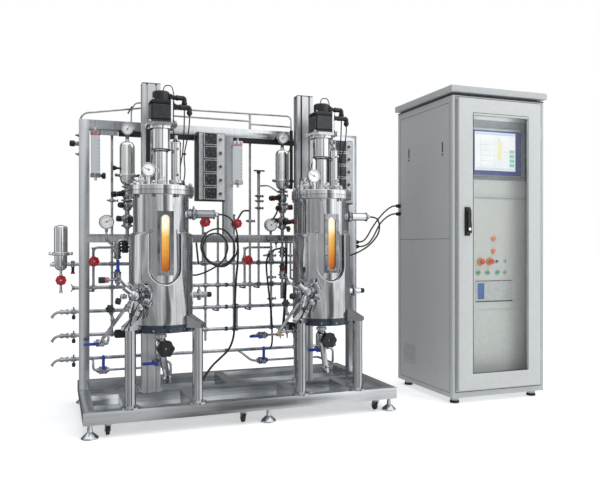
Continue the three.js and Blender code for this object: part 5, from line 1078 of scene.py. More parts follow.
# The left post: a black cock on a chrome body, two pipe clamps and the tube that loops over the filter.
stub(fittings, spot(-20, 528, 1378), RIGHT, 22, 36, 24, 2)
stub(fittings, spot(-6, 520, 1378), FRONT, 16, 14, 6)
turn(dark, [(0, 0), (12, 0), (15, 3), (15, 20), (11, 26), (0, 26)], spot(-20, 528, 1378), LEFT, 28, 8, 0.05)
for z in (1424, 1327):
    clamp_band(fittings, spot(2, PIPE_Y, z), UP, 13, 9)
sweep(tubes, bent([spot(x, PIPE_Y, z) for x, z in
                   ((264, 1496), (264, 1572), (284, 1613), (338, 1616))], 24), 8, 12)
sweep(dark, [spot(246, 546, 1553), spot(268, 548, 1592)], 8, 12)
sweep(dark, [spot(612, 500, 756), spot(599, 500, 886)], 10, 12)

# The steam traps and check valves that hang under the beam at each vessel's left.
for x, z, y, r, long, mesh in ((185, 786, 460, 20, 88, fittings), (1040, 764, PIPE_Y, 17, 66, fittings),
                               (1077, 790, 460, 17, 60, fittings), (1077, 668, 460, 18, 50, fittings),
                               (1077, 720, 460, 13, 40, dark), (222, 818, 452, 20, 58, dark)):
    turn(mesh, [(0, 0), (r - 5, 0), (r - 5, 5), (r, 7), (r, 13), (r - 4, 16), (r - 3, long * 0.4),
                (r, long * 0.42), (r, long * 0.6), (r - 3, long * 0.63), (r - 4, long - 16), (r, long - 13),
                (r, long - 7), (r - 5, long - 5), (r - 5, long), (0, long)], spot(x, y, z), UP, 28)
    for side in (-1, 1):
        stub(mesh, spot(x + side * (r - 1), y - 3, z + long / 2), (side, -0.2, 0), 8, 9, 12)

piece("process_tubes", tubes, BRIGHT_TUBE, crease=50, stands_for="process_pipework")
piece("pipe_fittings", fittings, CAST)
piece("pipe_dark_fittings", dark, BLACK)
piece("sampling_cock", gold, BRASS)
piece("hose_tails", braid, HOSE)
piece("drain_tip", tips, RED)

# Flexible lines beside the risers and filters: black rubber hose, tied to the frame. Each has its diameter
# and its points.
HOSES = {
    "left": (12, [(822, 536, 910), (822, 498, 899.8), (822, 470.2, 872), (822, 460, 834), (821, 460, 788),
                  (818, 459, 740), (812, 458, 690), (805, 458, 560), (802, 458, 420), (793, 460, 345),
                  (768, 460, 290), (724, 456, 250), (680, 443, 216), (642, 421, 180), (614, 399, 148),
                  (602, 385, 126)]),
    "right": (10, [(1077, 470, 838), (1046, 466, 837), (1010, 463, 818), (988, 461, 780), (985, 462, 730),
                   (996, 464, 630), (1008, 466, 530), (1017, 467, 450), (1020, 469, 372), (1021, 469, 338),
                   (1021, 473.9, 313.5), (1021, 487.7, 292.7), (1021, 508.5, 278.9), (1021, 533, 274)]),
    "trunk": (15, [(1096, 442, 900), (1094, 440, 860), (1093, 438, 800), (1092, 438, 720), (1090, 438, 660),
                   (1088, 440, 600), (1086, 442, 540), (1084, 446, 480), (1080, 452, 420),
                   (1070, 458, 366)]),
    "gauge": (9, [(1058, 446, 1088), (1046, 442, 1062), (1034, 438, 1032), (1018, 436, 1008),
                  (1008, 437, 994)]),
}
for use, (wide, points) in HOSES.items():
    flexible("rubber_hose_" + use, smooth_line([spot(*p) for p in points], 5), wide, "stand")

# ---------------------------------------------------------------- handwheels
# The wheels of the diaphragm valves: a lobed rim on a dished web, moulded in glossy red nylon. A plated nut
# holds each on its spindle.

for wheel, (x, z) in WHEEL_AT.items():
    rim, hub = bmesh.new(), bmesh.new()
    place = spot(x, WHEEL_Y, z)
    turn(rim, [(5.2, 7), (9, 7), (11, 4), (12, 1), (19, 0.4), (20.5, 3.4), (23, 5), (25, 4), (25.6, 0),
               (25, -4), (23, -5), (20.5, -3.4), (19, -1.6), (12, -1.6), (11, -5), (5.2, -5), (5.2, 7)],
         place, FRONT, 64, 8, 0.045)
    stub(hub, place + Vector((0, -0.006, 0)), FRONT, 15, 5, 6)
    turn(hub, [(0, 0), (4.5, 0), (4.5, 3), (3, 5), (0, 5)], place + Vector((0, -0.0105, 0)), FRONT, 16)
    piece("handwheel_rim_" + wheel, rim, RED, "handwheel_" + wheel + "_body", 45,
          "handwheel_" + wheel)
    piece("handwheel_nut_" + wheel, hub, ZINC, "handwheel_" + wheel + "_body")

# ---------------------------------------------------------------- ball valve levers
# The ball valves' levers, pressed from steel and dipped in blue vinyl, which leaves a soft thick skin with a
# wet look. A bright nut holds each on its stem.

BLUE = moulding("blue dipped vinyl", "#152f92", "#2349b8", (0.25, 0.38), 0.3)
dress(["valve_lever_" + lever for lever in LEVER_AT], BLUE, 1.5)
for lever, (x, y, z) in LEVER_AT.items():
    nut = bmesh.new()
    stub(nut, spot(x, y - 31.5, z), FRONT, 15, 5.5, 6)
    turn(nut, [(0, 0), (5, 0), (4, 3), (0, 4)], spot(x, y - 36.5, z), FRONT, 16)
    turn(nut, [(5, 0), (10.4, 0), (10.4, 1.4), (5, 1.4), (5, 0)], spot(x, y - 31, z), FRONT, 24)
    piece("lever_nut_" + lever, nut, ZINC, "valve_lever_" + lever + "_body")

# ---------------------------------------------------------------- filters
# Sterile air and steam filter housings: spun and welded 316L bells on clamped bases, electropolished, with
# diaphragm valves, black knobs and a pressure gauge on each air filter.

AIR_FILTER_X, FILTER_Y = {"a": 234, "b": 1077}, 460
SATIN = steel("satin polished 316l", ("#eceeef", "#f7f8f8"), (0.15, 0.25), (30, 30, 9), 0.0003)
for letter, x in AIR_FILTER_X.items():
    at = lambda dx, y, z: spot(x + dx, y, z)
    bell, stack, knobs, rings = [bmesh.new() for _ in range(4)]
    turn(bell, [(0, 1166), (12, 1166), (22, 1171), (31, 1181), (36, 1194), (37, 1208), (46, 1210),
                (47, 1212), (47, 1215), (45.6, 1216), (47, 1217), (47, 1220), (46, 1222), (38, 1224),
                (38, 1358), (37, 1370), (32, 1380), (22, 1388), (10, 1392), (10, 1402), (0, 1402)],
         at(0, FILTER_Y, 0), sides=56)
    for side in (-1, 1):
        stub(stack, at(side * 42, 455, 1215.6), (side, -0.4, 0), 13, 17, 16)
        turn(knobs if side > 0 else stack, [(0, 0), (7, 0), (8, 2), (8, 10), (5, 13), (0, 13)],
             at(side * 50, 450, 1215.6), (side, -0.4, 0.1), 20)
    # The gauge on its neck, over the bell.
    stub(stack, at(0, FILTER_Y, 1398), UP, 13, 32, 20)
    stub(stack, at(0, FILTER_Y, 1404), UP, 19, 12, 6)
    turn(stack, [(0, 0), (28, 0), (31, 3), (31, 19), (28, 21), (0, 21)], at(0, 472, 1454), FRONT, 40)
    # The stack below: clamped spool, two diaphragm valves with side bonnets, and the line down.
    turn(stack, [(0, 905), (9, 905), (9, 942), (15, 946), (15, 950), (19, 953), (21, 962), (21, 972),
                 (14, 978), (14, 992), (21, 998), (22, 1006), (20, 1012), (12, 1018), (12, 1036),
                 (19, 1040), (22, 1050), (22, 1070), (19, 1080), (12, 1085), (12, 1092), (20, 1098),
                 (24, 1108), (25, 1122), (22, 1132), (14, 1138), (12, 1166), (0, 1166)],
         at(0, FILTER_Y, 0), sides=36)
    for z in (958, 1004, 1088, 1136, 1158):
        clamp_band(stack, at(0, FILTER_Y, z), UP, 26 if z != 1158 else 22, 10)
    for dx, y, z, way, dark_bonnet in ((-14, 456, 1124, (-1, -0.25, -0.12), True),
                                       (10, 456, 1066, (0.9, -0.5, 0.1), False),
                                       (-8, 448, 1062, (-0.75, -0.65, 0), False),
                                       (8, 450, 985, (0.9, -0.4, 0.1), True),
                                       (-8, 452, 990, (-1, -0.2, 0.1), False)):
        long = 46 if dark_bonnet else 26
        turn(knobs if dark_bonnet else stack,
             [(0, 0), (15, 0), (18, 3), (18, 10), (14, 13), (12, long - 4), (0, long - 4)],
             at(dx, y, z), way, 24)
        tip = at(dx, y, z) + Vector(way).normalized() * long / 1000
        turn(knobs, [(0, -4), (8, -4), (13, 0), (14, 3), (14, 19), (12, 22), (0, 22)],
             tip, way, 40, 8, 0.06)
        turn(rings, [(8, -2), (14.6, -2), (14.6, 1.4), (8, 1.4), (8, -2)], tip, way, 28)
    turn(stack, [(0, 0), (9, 0), (9, 16), (12, 18), (12, 26), (0, 28)],
         at(18, 448, 1183), (0.7, -0.7, 0), 20)
    turn(knobs, [(0, 0), (5, 0), (6, 20), (9, 24), (13, 34), (13, 38), (0, 42)] if letter == "a" else
         [(0, 0), (8, 0), (8, 12), (12, 14), (12, 30), (0, 33)],
         at(-32, 460, 1252 if letter == "a" else 1116), (-1, -0.1, 0.03), 24)
    piece("filter_bell_" + letter, bell, SATIN, stands_for="air_filter_" + letter)
    piece("filter_stack_" + letter, stack, CAST)
    piece("filter_knobs_" + letter, knobs, BLACK)
    piece("filter_rings_" + letter, rings, RED if letter == "b" else ZINC)
    gauge("filter_gauge_" + letter, at(0, 449, 1454), 31, "stand", 0.62)

# The steam filter at the left end: the same bell, smaller, on a header's end, with its drain valve below.
STEAM_X = -87
steam, steam_valve = bmesh.new(), bmesh.new()
turn(steam, [(0, 728), (8, 728), (20, 733), (28, 742), (31, 754), (31, 804), (42, 806), (44, 808),
             (44, 812), (42.6, 813.5), (44, 815), (44, 819), (42, 821), (33, 823), (33, 944), (32, 950),
             (26, 955), (8, 961), (0, 961)],
     spot(STEAM_X, PIPE_Y, 0), sides=56)
for side in (-1, 1):
    turn(steam_valve, [(0, 0), (6, 0), (6, 9), (9, 10), (9, 17), (5, 20), (0, 20)],
         spot(STEAM_X + side * 38, PIPE_Y - 8, 813.5), (side, -0.3, 0.15), 16)
sweep(steam_valve, [spot(-140, PIPE_Y, 760), spot(-112, PIPE_Y, 760)], HEADER_OD, 20)
stub(steam_valve, spot(-128, PIPE_Y, 760), RIGHT, 25, 9, 24)
sweep(steam_valve, [spot(STEAM_X, PIPE_Y, 613), spot(STEAM_X, PIPE_Y, 732)], BRANCH_OD, 16)
stub(steam_valve, spot(STEAM_X, PIPE_Y, 613), UP, 17, 10, 6)
diaphragm_valve(steam_valve, STEAM_X, 682)
piece("steam_filter_bell", steam, MIRROR, stands_for="steam_filter")
piece("steam_filter_valve", steam_valve, MIRROR)

# ---------------------------------------------------------------- pump panels
# Folded sheet boxes bolted to the back frame, each with a column of five peristaltic pumps and their knobs.
# The box is powder coated mid grey, its front strips are pale printed sheet.

PANEL_GREY = moulding("grey powder coat", "#80868b", "#8f959a", (0.4, 0.55), 0.0, 700, 0.0004)
dress(["pump_panel_a", "pump_panel_b"], PANEL_GREY)
STRIP = moulding("pale printed sheet", "#b4b7b8", "#c3c6c7", (0.35, 0.5))
SMOKED = moulding("smoked pump cover", "#171c1f", "#262d32", (0.15, 0.3), 0.4)


def surround(mesh, x0, x1, z0, z1, wide, y0, y1, ease):
    """Four bars, so wide, just inside a rectangle of the front view, from y0 to y1."""
    for left, right, low, high in ((x0, x0 + wide, z0, z1), (x1 - wide, x1, z0, z1),
                                   (x0, x1, z1 - wide, z1), (x0, x1, z0, z0 + wide)):
        slab(mesh, spot(left, y0, low), spot(right, y1, high), ease)


PANEL_X = {"a": 587, "b": 1333}
PANEL_LOW, PANEL_HIGH, PANEL_WIDTH, PANEL_FACE = 1095, 1453, 148, 400
PUMPS = 5
PUMP_PITCH = (PANEL_HIGH - PANEL_LOW) / PUMPS
PUMP_FACE = PANEL_FACE - 22
for letter, left in PANEL_X.items():
    strips, frames, covers, rollers, knobs, edge = [bmesh.new() for _ in range(6)]
    for start, end in ((7, 29), (103, 144)):
        slab(strips, spot(left + start, PANEL_FACE - 2, PANEL_LOW + 4),
             spot(left + end, PANEL_FACE + 1, PANEL_HIGH - 4))
    slab(edge, spot(left - 2.5, PANEL_FACE - 4, PANEL_LOW - 2),
         spot(left + 6, PANEL_FACE + 60, PANEL_HIGH + 1))
    slab(edge, spot(left - 2, PANEL_FACE - 3, PANEL_LOW - 4),
         spot(left + PANEL_WIDTH, PANEL_FACE + 40, PANEL_LOW + 2))
    for i in range(PUMPS):
        z = PANEL_LOW + PUMP_PITCH * (i + 0.5)
        surround(frames, left + 31, left + 100, z - 31.5, z + 31.5, 2.5, PUMP_FACE - 4, PUMP_FACE + 18, 1)
        slab(covers, spot(left + 34, PUMP_FACE - 1.5, z - 28.5),
             spot(left + 97, PUMP_FACE + 2, z + 28.5), 3)
        turn(covers, [(0, 6), (9, 6), (10, 5), (10, 0), (19, 0), (20, -1), (20, -2)],
             spot(left + 68, PUMP_FACE - 1, z), FRONT)
        for across, up in about(3, 14, 30 + 17 * i):
            stub(rollers, spot(left + 68 + across, PUMP_FACE - 1, z + up), FRONT, 5, 5)
        for dx, dz in ((43, 19), (43, -19)):
            stub(rollers, spot(left + dx, PUMP_FACE - 1, z + dz), FRONT, 6, 3, 12)
        slab(knobs, spot(left + 115, PANEL_FACE - 14, z - 7), spot(left + 129, PANEL_FACE - 1, z + 7), 3)
    piece("panel_strips_" + letter, strips, STRIP)
    piece("panel_edge_" + letter, edge, BLACK)
    piece("pump_frames_" + letter, frames, ANODISED)
    piece("pump_covers_" + letter, covers, SMOKED)
    piece("pump_rollers_" + letter, rollers, ZINC)
    piece("pump_knobs_" + letter, knobs, BLACK)

# ---------------------------------------------------------------- flow meters
# Variable-area gas flow meters on the back frame: a clear acrylic block between bright ends, with a printed
# scale beside its bore, a rose block at its head and a needle valve at its foot.

# Cast acrylic: clear with a grey cast, polished faces.
ACRYLIC = clear_glass("cast acrylic", "#d9dcdf", 0.05, 0.1)
ROSE = moulding("rose tinted acrylic", "#b9606c", "#cf8c93", (0.2, 0.3), 0.2)
# Each meter's left edge, foot and head, on the frame's front.
METERS = {"a": (56, 1203, 1442), "b": (801, 1190, 1426)}
y0, y1 = 452, 486      # the blocks' front and back
for letter, (left, foot, head) in METERS.items():
    body, ends, scale, knob, rose_block = [bmesh.new() for _ in range(5)]
    slab(body, spot(left, y0, foot + 20), spot(left + 44, y1, head - 22), 2)
    slab(ends, spot(left - 3, y0 - 2, foot), spot(left + 47, y1 + 3, foot + 19.5), 2)
    slab(ends, spot(left - 3, y0 - 2, head - 21.5), spot(left + 47, y1 + 3, head), 2)
    for z in (foot + 10, head - 11):
        stub(ends, spot(left + 22, y0 - 1, z), FRONT, 17, 7, 6)
    stub(ends, spot(left + 22, (y0 + y1) / 2, foot - 16), UP, 13, 17)
    stub(ends, spot(left + 22, (y0 + y1) / 2, head - 1), UP, 13, 16)
    slab(rose_block, spot(left + 6, y0 - 7, head - 26), spot(left + 38, y0 + 3, head - 4), 3)
    for k in range(9):
        slab(scale, spot(left + 32, y0 - 0.6, foot + 40 + 18 * k),
             spot(left + (39 if k % 2 else 42), y0 + 1, foot + 41.5 + 18 * k), 0.2)
    place, way = (spot(left + 45, y0 + 10, foot + 8), RIGHT) if letter == "a" else (
        spot(left + 22, y0 - 7, foot + 10), FRONT)
    turn(knob, [(0, 0), (8, 0), (8, 8), (16, 9), (16, 24), (14, 26), (0, 26)], place, way, 20)
    piece("flow_meter_" + letter, body, ACRYLIC)
    piece("flow_meter_ends_" + letter, ends, MIRROR)
    piece("flow_meter_scale_" + letter, scale, BLACK)
    piece("flow_meter_float_" + letter, rose_block, ROSE)
    piece("flow_meter_knob_" + letter, knob, BLACK if letter == "a" else MIRROR)

# ---------------------------------------------------------------- control cabinet
# A folded steel enclosure with a glazed door, powder coated light grey with a fine orange peel. Inside is the
# mounting plate with the touch panel, lamps and push-buttons. Its panels are clipped, and sealed with rubber.

LIGHT_GREY = moulding("light grey powder coat", "#babdbd", "#bec1c1", (0.38, 0.5), 0.0, 420, 0.0001)
dress(["door_frame"], LIGHT_GREY, 2)
# The body's walls and roof wear the door frame's coat made a little darker: painted shade for the sides
# turned from the light.
SHADED_WALL_GREY = moulding("wall powder coat with painted shade", "#acafb0", "#b0b3b4", (0.38, 0.5), 0.0, 420, 0.0001)
dress(["cabinet_body"], SHADED_WALL_GREY, 2)
INNER = moulding("inner panel coat", "#c6c8c7", "#cdcfce", (0.4, 0.55), 0.0, 420, 0.0001)
dress(["control_panel"], INNER)
dress(["door_glass"], clear_glass("toughened door glass", "#f9faf9", 0.02, 0.03))
dress(["door_handle"], BLACK)
CABINET_LEFT, CABINET_RIGHT, CABINET_DEPTH, CABINET_HIGH = 1885, 2485, 600, 1672
PLATE_Y = 80

# Grooves where the side panels are let in and the door's seal, black rubber; and a black slab in the gap
# under the roof cap, which is painted shadow.
seams, door_seal = bmesh.new(), bmesh.new()
for x in (CABINET_LEFT - 0.4, CABINET_RIGHT - 0.8):
    for y0, y1, z0, z1 in ((26, 28, 60, 1630), (572, 574, 60, 1630), (26, 574, 1628, 1630),
                           (26, 574, 892, 894), (26, 574, 60, 62)):
        slab(seams, spot(x, y0, z0), spot(x + 1.2, y1, z1), 0.2)
ROOF_INSET = 23.2
# The black slab under the roof cap is painted shadow in the gap.
slab(seams, spot(CABINET_LEFT + ROOF_INSET, ROOF_INSET, CABINET_HIGH + 1),
     spot(CABINET_RIGHT - ROOF_INSET, CABINET_DEPTH - ROOF_INSET, CABINET_HIGH + 9), 0.5)
surround(seams, 1911, 2459, 60, 1630, 2, CABINET_DEPTH - 0.8, CABINET_DEPTH + 0.4, 0.2)
piece("cabinet_seams_and_roof_shadow", seams, TYRE)
surround(door_seal, 1913, 2449, 78, 1649, 4, -2.2, -0.6, 0.4)
surround(door_seal, 2000, 2364.5, 164, 1575, 2.5, -22.6, -20, 0.4)
piece("door_seals", door_seal, TYRE, "door")

# Thin black strips: a dark line just outside the door's edge, and bands of painted shadow under the roof's
# edge.
lip = bmesh.new()
for x0, x1, z0, z1 in ((1903, 1905, 64, 1658), (2466.5, 2469, 64, 1658), (1903, 2469, 1656, 1658.5),
                       (1903, 2469, 64, 66.5)):
    slab(lip, spot(x0, -1, z0), spot(x1, 0.4, z1), 0.4)
# Bands under the roof's edge: painted shadow under the roof cap.
for y in (-0.9, CABINET_DEPTH - 1.1):
    slab(lip, spot(CABINET_LEFT - 0.9, y, 1665), spot(CABINET_RIGHT + 0.9, y + 2, 1671.5), 0.5)
for x in (CABINET_LEFT - 0.9, CABINET_RIGHT - 1.1):
    slab(lip, spot(x, -0.9, 1665), spot(x + 2, CABINET_DEPTH + 0.9, 1671.5), 0.5)
piece("cabinet_dark_edge_lines", lip, TYRE)

# Panel clips on both sides: a slotted quarter-turn latch over a keyhole.
clips = bmesh.new()
for x, way in ((CABINET_LEFT, -1), (CABINET_RIGHT, 1)):
    for y, z in ((466, 1416), (98, 1404)):
        left = x - 1.6 if way < 0 else x - 0.4
        slab(clips, spot(left, y - 5, z - 34), spot(left + 2, y + 5, z + 22), 1.5)
        stub(clips, spot(x - way * 0.5, y, z - 48), (way, 0, 0), 12, 2.6, 20)
piece("panel_clips", clips, BLACK)

# Rear and lower ventilation: pressed louvres.
louvres = bmesh.new()
for k in range(7):
    z = 150 + 17 * k
    for x0 in (2030, 2240):
        slab(louvres, spot(x0, CABINET_DEPTH - 0.5, z), spot(x0 + 120, CABINET_DEPTH + 4, z + 7), 2)
    slab(louvres, spot(CABINET_LEFT - 3, 390, z), spot(CABINET_LEFT + 0.5, 530, z + 6), 2)
piece("cabinet_louvres", louvres, LIGHT_GREY)

# Roof lifting bolts and the feet's rubber pads.
roof_bolts, pads = bmesh.new(), bmesh.new()
for x in (CABINET_LEFT + 40, CABINET_RIGHT - 40):
    for y in (40, CABINET_DEPTH - 40):
        stub(roof_bolts, spot(x, y, 1715.8), UP, 22, 1.6, 24, 0.5)
        stub(roof_bolts, spot(x, y, 1717), UP, 16, 6, 6)
        pad = spot(x + (5 if x < 2000 else -5), y + (10 if y < 300 else -10), 0)
        turn(pads, [(23.6, 0.5), (25, 3), (25, 13), (23.6, 15), (23.6, 0.5)], pad, sides=32)
piece("roof_bolts", roof_bolts, ZINC)
piece("cabinet_foot_pads", pads, TYRE)

# The handle's lock barrel and plate.
lock = bmesh.new()
handle_low, handle_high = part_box("door_handle")
barrel = Vector(((handle_low.x + handle_high.x) / 2, handle_low.y + 0.001, handle_low.z + 0.026))
stub(lock, barrel, FRONT, 17, 3, 24)
slab(lock, barrel + Vector((-0.0014, -0.0036, -0.005)), barrel + Vector((0.0014, -0.0028, 0.005)), 0.3)
slab(lock, Vector((handle_high.x - 0.001, handle_low.y + 0.002, handle_low.z + 0.004)),
     Vector((handle_high.x + 0.0006, handle_high.y - 0.002, handle_low.z + 0.06)), 0.6)
piece("handle_lock", lock, MIRROR, "door_latch")


def boards(name, material, ease, y0, y1, places, body="stand"):
    """A piece made of plates that share a front and a back, each given as left, foot, right and head."""
    mesh = bmesh.new()
    for left, foot, right, head in places:
        slab(mesh, spot(left, y0, foot), spot(right, y1, head), ease)
    piece(name, mesh, material, body)


boards("handle_plate", BLACK, 4, -24, -21.6, [(1945, 908, 1981, 1063)], "door")

# The mounting plate's face: a ledge, a lower cover, a blank label plate and the monitor's shroud.
PLATE_LEFT, PLATE_RIGHT = 1935, 2442
plates = bmesh.new()
slab(plates, spot(PLATE_LEFT, PLATE_Y - 12, 1126), spot(PLATE_RIGHT, PLATE_Y + 1, 1131), 1)
for foot, head in ((500, 1120), (120, 494)):
    slab(plates, spot(PLATE_LEFT, PLATE_Y - 3, foot), spot(PLATE_RIGHT, PLATE_Y + 0.5, head), 1.5)
piece("plate_covers", plates, INNER)
SHROUD = moulding("dark panel surround", "#6d747a", "#7b8288", (0.35, 0.5))
boards("monitor_shroud", SHROUD, 1.5, PLATE_Y - 6, PLATE_Y - 0.5,
       [(1940, 1519, 2438, 1560), (1940, 1227, 2438, 1245), (1940, 1245, 2066, 1519),
        (2390, 1245, 2438, 1519)])
boards("label_plate", STRIP, 2, PLATE_Y - 4.6, PLATE_Y - 2.5, [(2084, 539, 2333, 663)])
RULE = moulding("dark printed rule", "#2b2f33", "#3a3f44", (0.4, 0.5))
boards("label_rules", RULE, 0.3, PLATE_Y - 5.2, PLATE_Y - 4.2,
       [(2084, 655, 2333, 659), (2084, 539, 2333, 546)])
LABEL_BAND = moulding("blue enamel band", "#1d4f97", "#2761b0", (0.3, 0.4))
boards("label_band", LABEL_BAND, 4, PLATE_Y - 5.2, PLATE_Y - 4, [(2098, 556, 2142, 646)])

# Lamps and push-buttons in bright bezels.
ORANGE = moulding("orange lamp lens", "#f0641a", "#ff8a3c", (0.15, 0.25), 0.2)
YELLOW = moulding("yellow legend ring", "#c7951c", "#dcae2a", (0.3, 0.4))
DOME_RED = moulding("red push button", "#c4060f", "#e0101c", (0.2, 0.3), 0.2)
GREEN = moulding("green button cap", "#0d9a45", "#1fb85c", (0.25, 0.35), 0.2)
GREY_CAP = moulding("grey button cap", "#8e9498", "#a3a9ad", (0.3, 0.4), 0.3)
bezels = bmesh.new()
# Each one's X and height, how far across it is and its lens or cap.
BUTTONS = [("lamp_upper", 2204, 896, 28, ORANGE), ("lamp_lower", 2204, 826, 28, ORANGE),
           ("dark_cap_1", 2223, 767, 16, BLACK), ("dark_cap_2", 2282, 768, 12, GREY_CAP),
           ("green_cap_1", 2103, 706, 24, GREEN), ("green_cap_2", 2164, 706, 22, GREEN),
           ("green_cap_3", 2229, 706, 24, GREEN), ("grey_cap_1", 2282, 706, 20, GREY_CAP)]
for name, x, z, across, colour in BUTTONS:
    r, place, cap = across / 2, spot(x, PLATE_Y - 3, z), bmesh.new()
    turn(bezels, [(0, -1), (r + 5, -1), (r + 5, 3), (r + 2, 6), (r, 6), (r, 4), (0, 4)], place, FRONT, 32)
    turn(cap, [(0, 4), (r - 1, 4), (r - 1, 9), (r - 4, 12), (0, 13)], place, FRONT, 32)
    piece(name, cap, colour)
legends = bmesh.new()
for x in (2117, 2177):
    turn(legends, [(0, -1), (23, -1), (23, 2), (21, 5), (0, 5)], spot(x, PLATE_Y - 3, 766), FRONT, 32)
piece("stop_legends", legends, YELLOW)
dress(["stop_button_1", "stop_button_2"], DOME_RED)
piece("button_bezels", bezels, ANODISED)

# ---------------------------------------------------------------- monitor
# A flush touch panel: dark blue glass round a bright display. The display shows a plain process diagram, a
# yellow vessel on a pale ground with tinted panes and no words.

dress(["monitor"], moulding("monitor glass border", "#0a2c78", "#103c92", (0.2, 0.3), 0.1))


def glowing(name, low, high, strength):
    """A lit part of the display: its own light, faintly uneven."""
    material, tree, where = finish_of(name)
    cloud = grain(tree, where, (12, 12, 12), 2)
    colour = add(tree, "ValToRGB", {"Fac": cloud}, [(0.3, low), (0.7, high)]).outputs["Color"]
    shader = add(tree, "BsdfPrincipled", {
        "Base Color": (0.02, 0.02, 0.02, 1), "Emission Color": colour, "Emission Strength": strength,
        "Roughness": 0.2})
    add(tree, "OutputMaterial", {"Surface": shader.outputs[0]})
    return material


SCREEN_X0, SCREEN_X1, SCREEN_Z0, SCREEN_Z1, SCREEN_Y = 2074, 2346, 1277, 1492, 67.7
# Each pane of the diagram: its name, tones, strength and its rectangles as left, foot, right and head.
PANES = [
    ("display", "#eef3fa", "#ffffff", 0.95, [(SCREEN_X0, SCREEN_Z0, SCREEN_X1, SCREEN_Z1)]),
    ("display_vessel", "#f1efa6", "#f8f6c4", 0.95, [(2222, 1338, 2252, 1430), (2216, 1430, 2258, 1437)]),
    ("display_lines", "#b9c6d6", "#ccd6e2", 0.9, [
        *((2112, 1300 + 30 * k, 2206, 1301.5 + 30 * k) for k in range(5)),
        (2112, 1300, 2113.5, 1450), (2204.5, 1300, 2206, 1450), (2235, 1437, 2239, 1456),
        (2252, 1384, 2296, 1386)]),
    ("display_tiles", "#7fc4c0", "#a4dcd2", 0.9, [
        (2306, 1300 + 26 * k, 2340, 1320 + 26 * k) for k in range(4)]),
    ("display_head", "#c9dcf2", "#dbe8f8", 0.9, [
        (SCREEN_X0 + 3, SCREEN_Z1 - 16, SCREEN_X1 - 3, SCREEN_Z1 - 3)]),
    ("display_foot", "#dfe6ef", "#eaf0f6", 0.9, [
        (SCREEN_X0 + 3, SCREEN_Z0 + 3, SCREEN_X1 - 3, SCREEN_Z0 + 16)])]
for depth, (name, low, high, strength, places) in enumerate(PANES):
    light = glowing(name.replace("_", " ") + " light", low, high, strength)
    boards(name, light, 0.1, SCREEN_Y - (0.8 if depth else 0.5), SCREEN_Y + 0.2, places)

# The cable glands: black nylon, over the holes in the cabinet's wall and in the post of the back frame.
glands = bmesh.new()
for x, y, z, way in ((1885, 577, 1100, -1), (1885, 577, 1051, -1), (1548, 515, 876, 1),
                     (1548, 515, 850, 1)):
    turn(glands, [(0, 0), (12, 0), (12, 14), (9.5, 24.6), (0, 24.6)], spot(x, y, z), (way, 0, 0), 24)
piece("cable_glands", glands, BLACK)

# ---------------------------------------------------------------- studio
# A white cove. The world gives the steel its room: tall pale panels with dark gaps between them, bright
# overhead. Rays from the camera see plain white.

world = bpy.data.worlds.new("studio")
bpy.context.scene.world = world
world.use_nodes = True
sky = world.node_tree
sky.nodes.clear()
facing = add(sky, "TexCoord").outputs["Generated"]
wobble = grain(sky, facing, (1.6, 1.6, 2.4), 2)
heading = add(sky, "SeparateXYZ", {"Vector": facing})
toward = add(sky, "Math", {0: heading.outputs["Y"], 1: -1.0}, operation="MULTIPLY").outputs[0]
azimuth = add(sky, "Math", {0: heading.outputs["X"], 1: toward}, operation="ARCTAN2").outputs[0]
turned = add(sky, "MapRange", {"Value": azimuth, "From Min": -pi, "From Max": pi}).outputs["Result"]
swayed = add(sky, "MapRange", {"Value": wobble, **MIDDLE, "To Min": -0.03,
                               "To Max": 0.03}).outputs["Result"]
around = add(sky, "Math", {0: turned, 1: swayed}, operation="ADD").outputs[0]
# Each stop is a heading in degrees from the front toward +X, and how bright the room is there.
PANELS = [(-172, .13), (-121, .13), (-111, .66), (-98, .7), (-92, .36), (-36, .38), (-28, .58), (1, .62),
          (6, .2), (9, .12), (14, .2), (21, .7), (28, 1.0), (90, .95), (100, .16), (170, .14)]
walls = add(sky, "ValToRGB", {"Fac": around}, [
    ((angle + 180) / 360, level) for angle, level in PANELS]).outputs["Color"]
slats = add(sky, "TexNoise", {"Vector": add(sky, "CombineXYZ", {"X": turned}).outputs[0], "Scale": 38.0,
                              "Detail": 4.0}).outputs["Fac"]
shade = add(sky, "MapRange", {"Value": slats, "From Min": 0.35, "From Max": 0.65, "To Min": 0.42,
                              "To Max": 1.18}).outputs["Result"]
# The room is brighter toward its ceiling, so high parts are lighter than low ones.
upward = add(sky, "MapRange", {"Value": heading.outputs["Z"], "From Min": -0.14, "From Max": 0.22,
                               "To Min": 0.86, "To Max": 1.45}).outputs["Result"]
shade = add(sky, "Math", {0: shade, 1: upward}, operation="MULTIPLY").outputs[0]
walls = add(sky, "VectorMath", {0: walls, "Scale": shade}, operation="SCALE").outputs[0]
lift = add(sky, "MapRange", {"Value": heading.outputs["Z"], "From Min": 0.62,
                             "From Max": 0.85}).outputs["Result"]
room = add(sky, "Mix", {"Factor": lift, 6: walls, 7: (0.95, 0.97, 1.0, 1)}, data_type="RGBA").outputs[2]
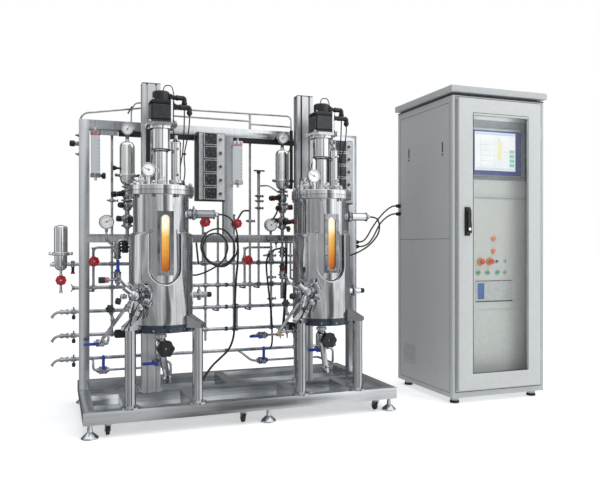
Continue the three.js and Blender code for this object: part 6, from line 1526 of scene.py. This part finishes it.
# Paint is lit more from the front and the right, as by a window there.
FILL = [(-175, .08), (-100, .15), (-50, .22), (-10, .5), (30, .8), (80, .7), (120, .25), (170, .08)]
fill = add(sky, "ValToRGB", {"Fac": turned}, [
    ((angle + 180) / 360, level) for angle, level in FILL]).outputs["Color"]
above = add(sky, "Mix", {"Factor": lift, 6: fill, 7: (0.6, 0.62, 0.64, 1)}, data_type="RGBA").outputs[2]
ray = add(sky, "LightPath").outputs
reflected = add(sky, "Background", {"Color": room, "Strength": 1.35})
lighting = add(sky, "Background", {"Color": above, "Strength": 1.1})
backdrop = add(sky, "Background", {"Color": (1, 1, 1, 1), "Strength": 1.0})
unseen = add(sky, "MixShader", {0: ray["Is Diffuse Ray"], 1: reflected.outputs[0], 2: lighting.outputs[0]})
both = add(sky, "MixShader", {0: ray["Is Camera Ray"], 1: unseen.outputs[0], 2: backdrop.outputs[0]})
add(sky, "OutputWorld", {"Surface": both.outputs[0]})


def softbox(name, place, aim, size, power):
    """A rectangular lamp at a place in metres, facing a point."""
    data = bpy.data.lights.new(name, "AREA")
    data.shape = "RECTANGLE"
    data.size, data.size_y = size
    data.energy = power
    lamp = bpy.data.objects.new(name, data)
    lamp.location = place
    lamp.rotation_euler = (Vector(aim) - Vector(place)).to_track_quat("-Z", "Y").to_euler()
    lamp.visible_glossy = False
    lamp.visible_camera = False
    bpy.context.scene.collection.objects.link(lamp)


softbox("key", (2.2, -3.0, 3.2), (0.2, 0, 0.7), (1.8, 1.8), 40)
softbox("overhead", (0.2, -0.4, 3.6), (0, 0, 0), (4.2, 2.6), 45)
softbox("cabinet lamp", spot(2185, 24, 1590), spot(2185, 90, 500), (0.3, 0.03), 0.2)


def cove_paint():
    """Matt white floor paint, faintly mottled and lit from below, as in a light cove."""
    material, tree, where = finish_of("matt white floor")
    mottle = grain(tree, where, (3, 3, 3))
    colour = add(tree, "ValToRGB", {"Fac": mottle}, [(0.3, "#f2f3f4"), (0.7, "#f8f9fa")]).outputs["Color"]
    shader = add(tree, "BsdfPrincipled", {
        "Base Color": colour, "Emission Color": colour, "Emission Strength": 0.5, "Roughness": 0.9,
        "Specular IOR Level": 0.1})
    add(tree, "OutputMaterial", {"Surface": shader.outputs[0]})
    return material


FLOOR_REACH = 40
floor_mesh = bpy.data.meshes.new("floor")
floor_mesh.from_pydata([(-FLOOR_REACH, -FLOOR_REACH, 0), (FLOOR_REACH, -FLOOR_REACH, 0),
                        (FLOOR_REACH, FLOOR_REACH, 0), (-FLOOR_REACH, FLOOR_REACH, 0)], [], [(0, 1, 2, 3)])
floor_mesh.materials.append(cove_paint())
floor = bpy.data.objects.new("floor", floor_mesh)
floor.location.z = -0.0005
floor.visible_glossy = False
bpy.context.scene.collection.objects.link(floor)
bpy.context.scene.view_settings.view_transform = "Standard"
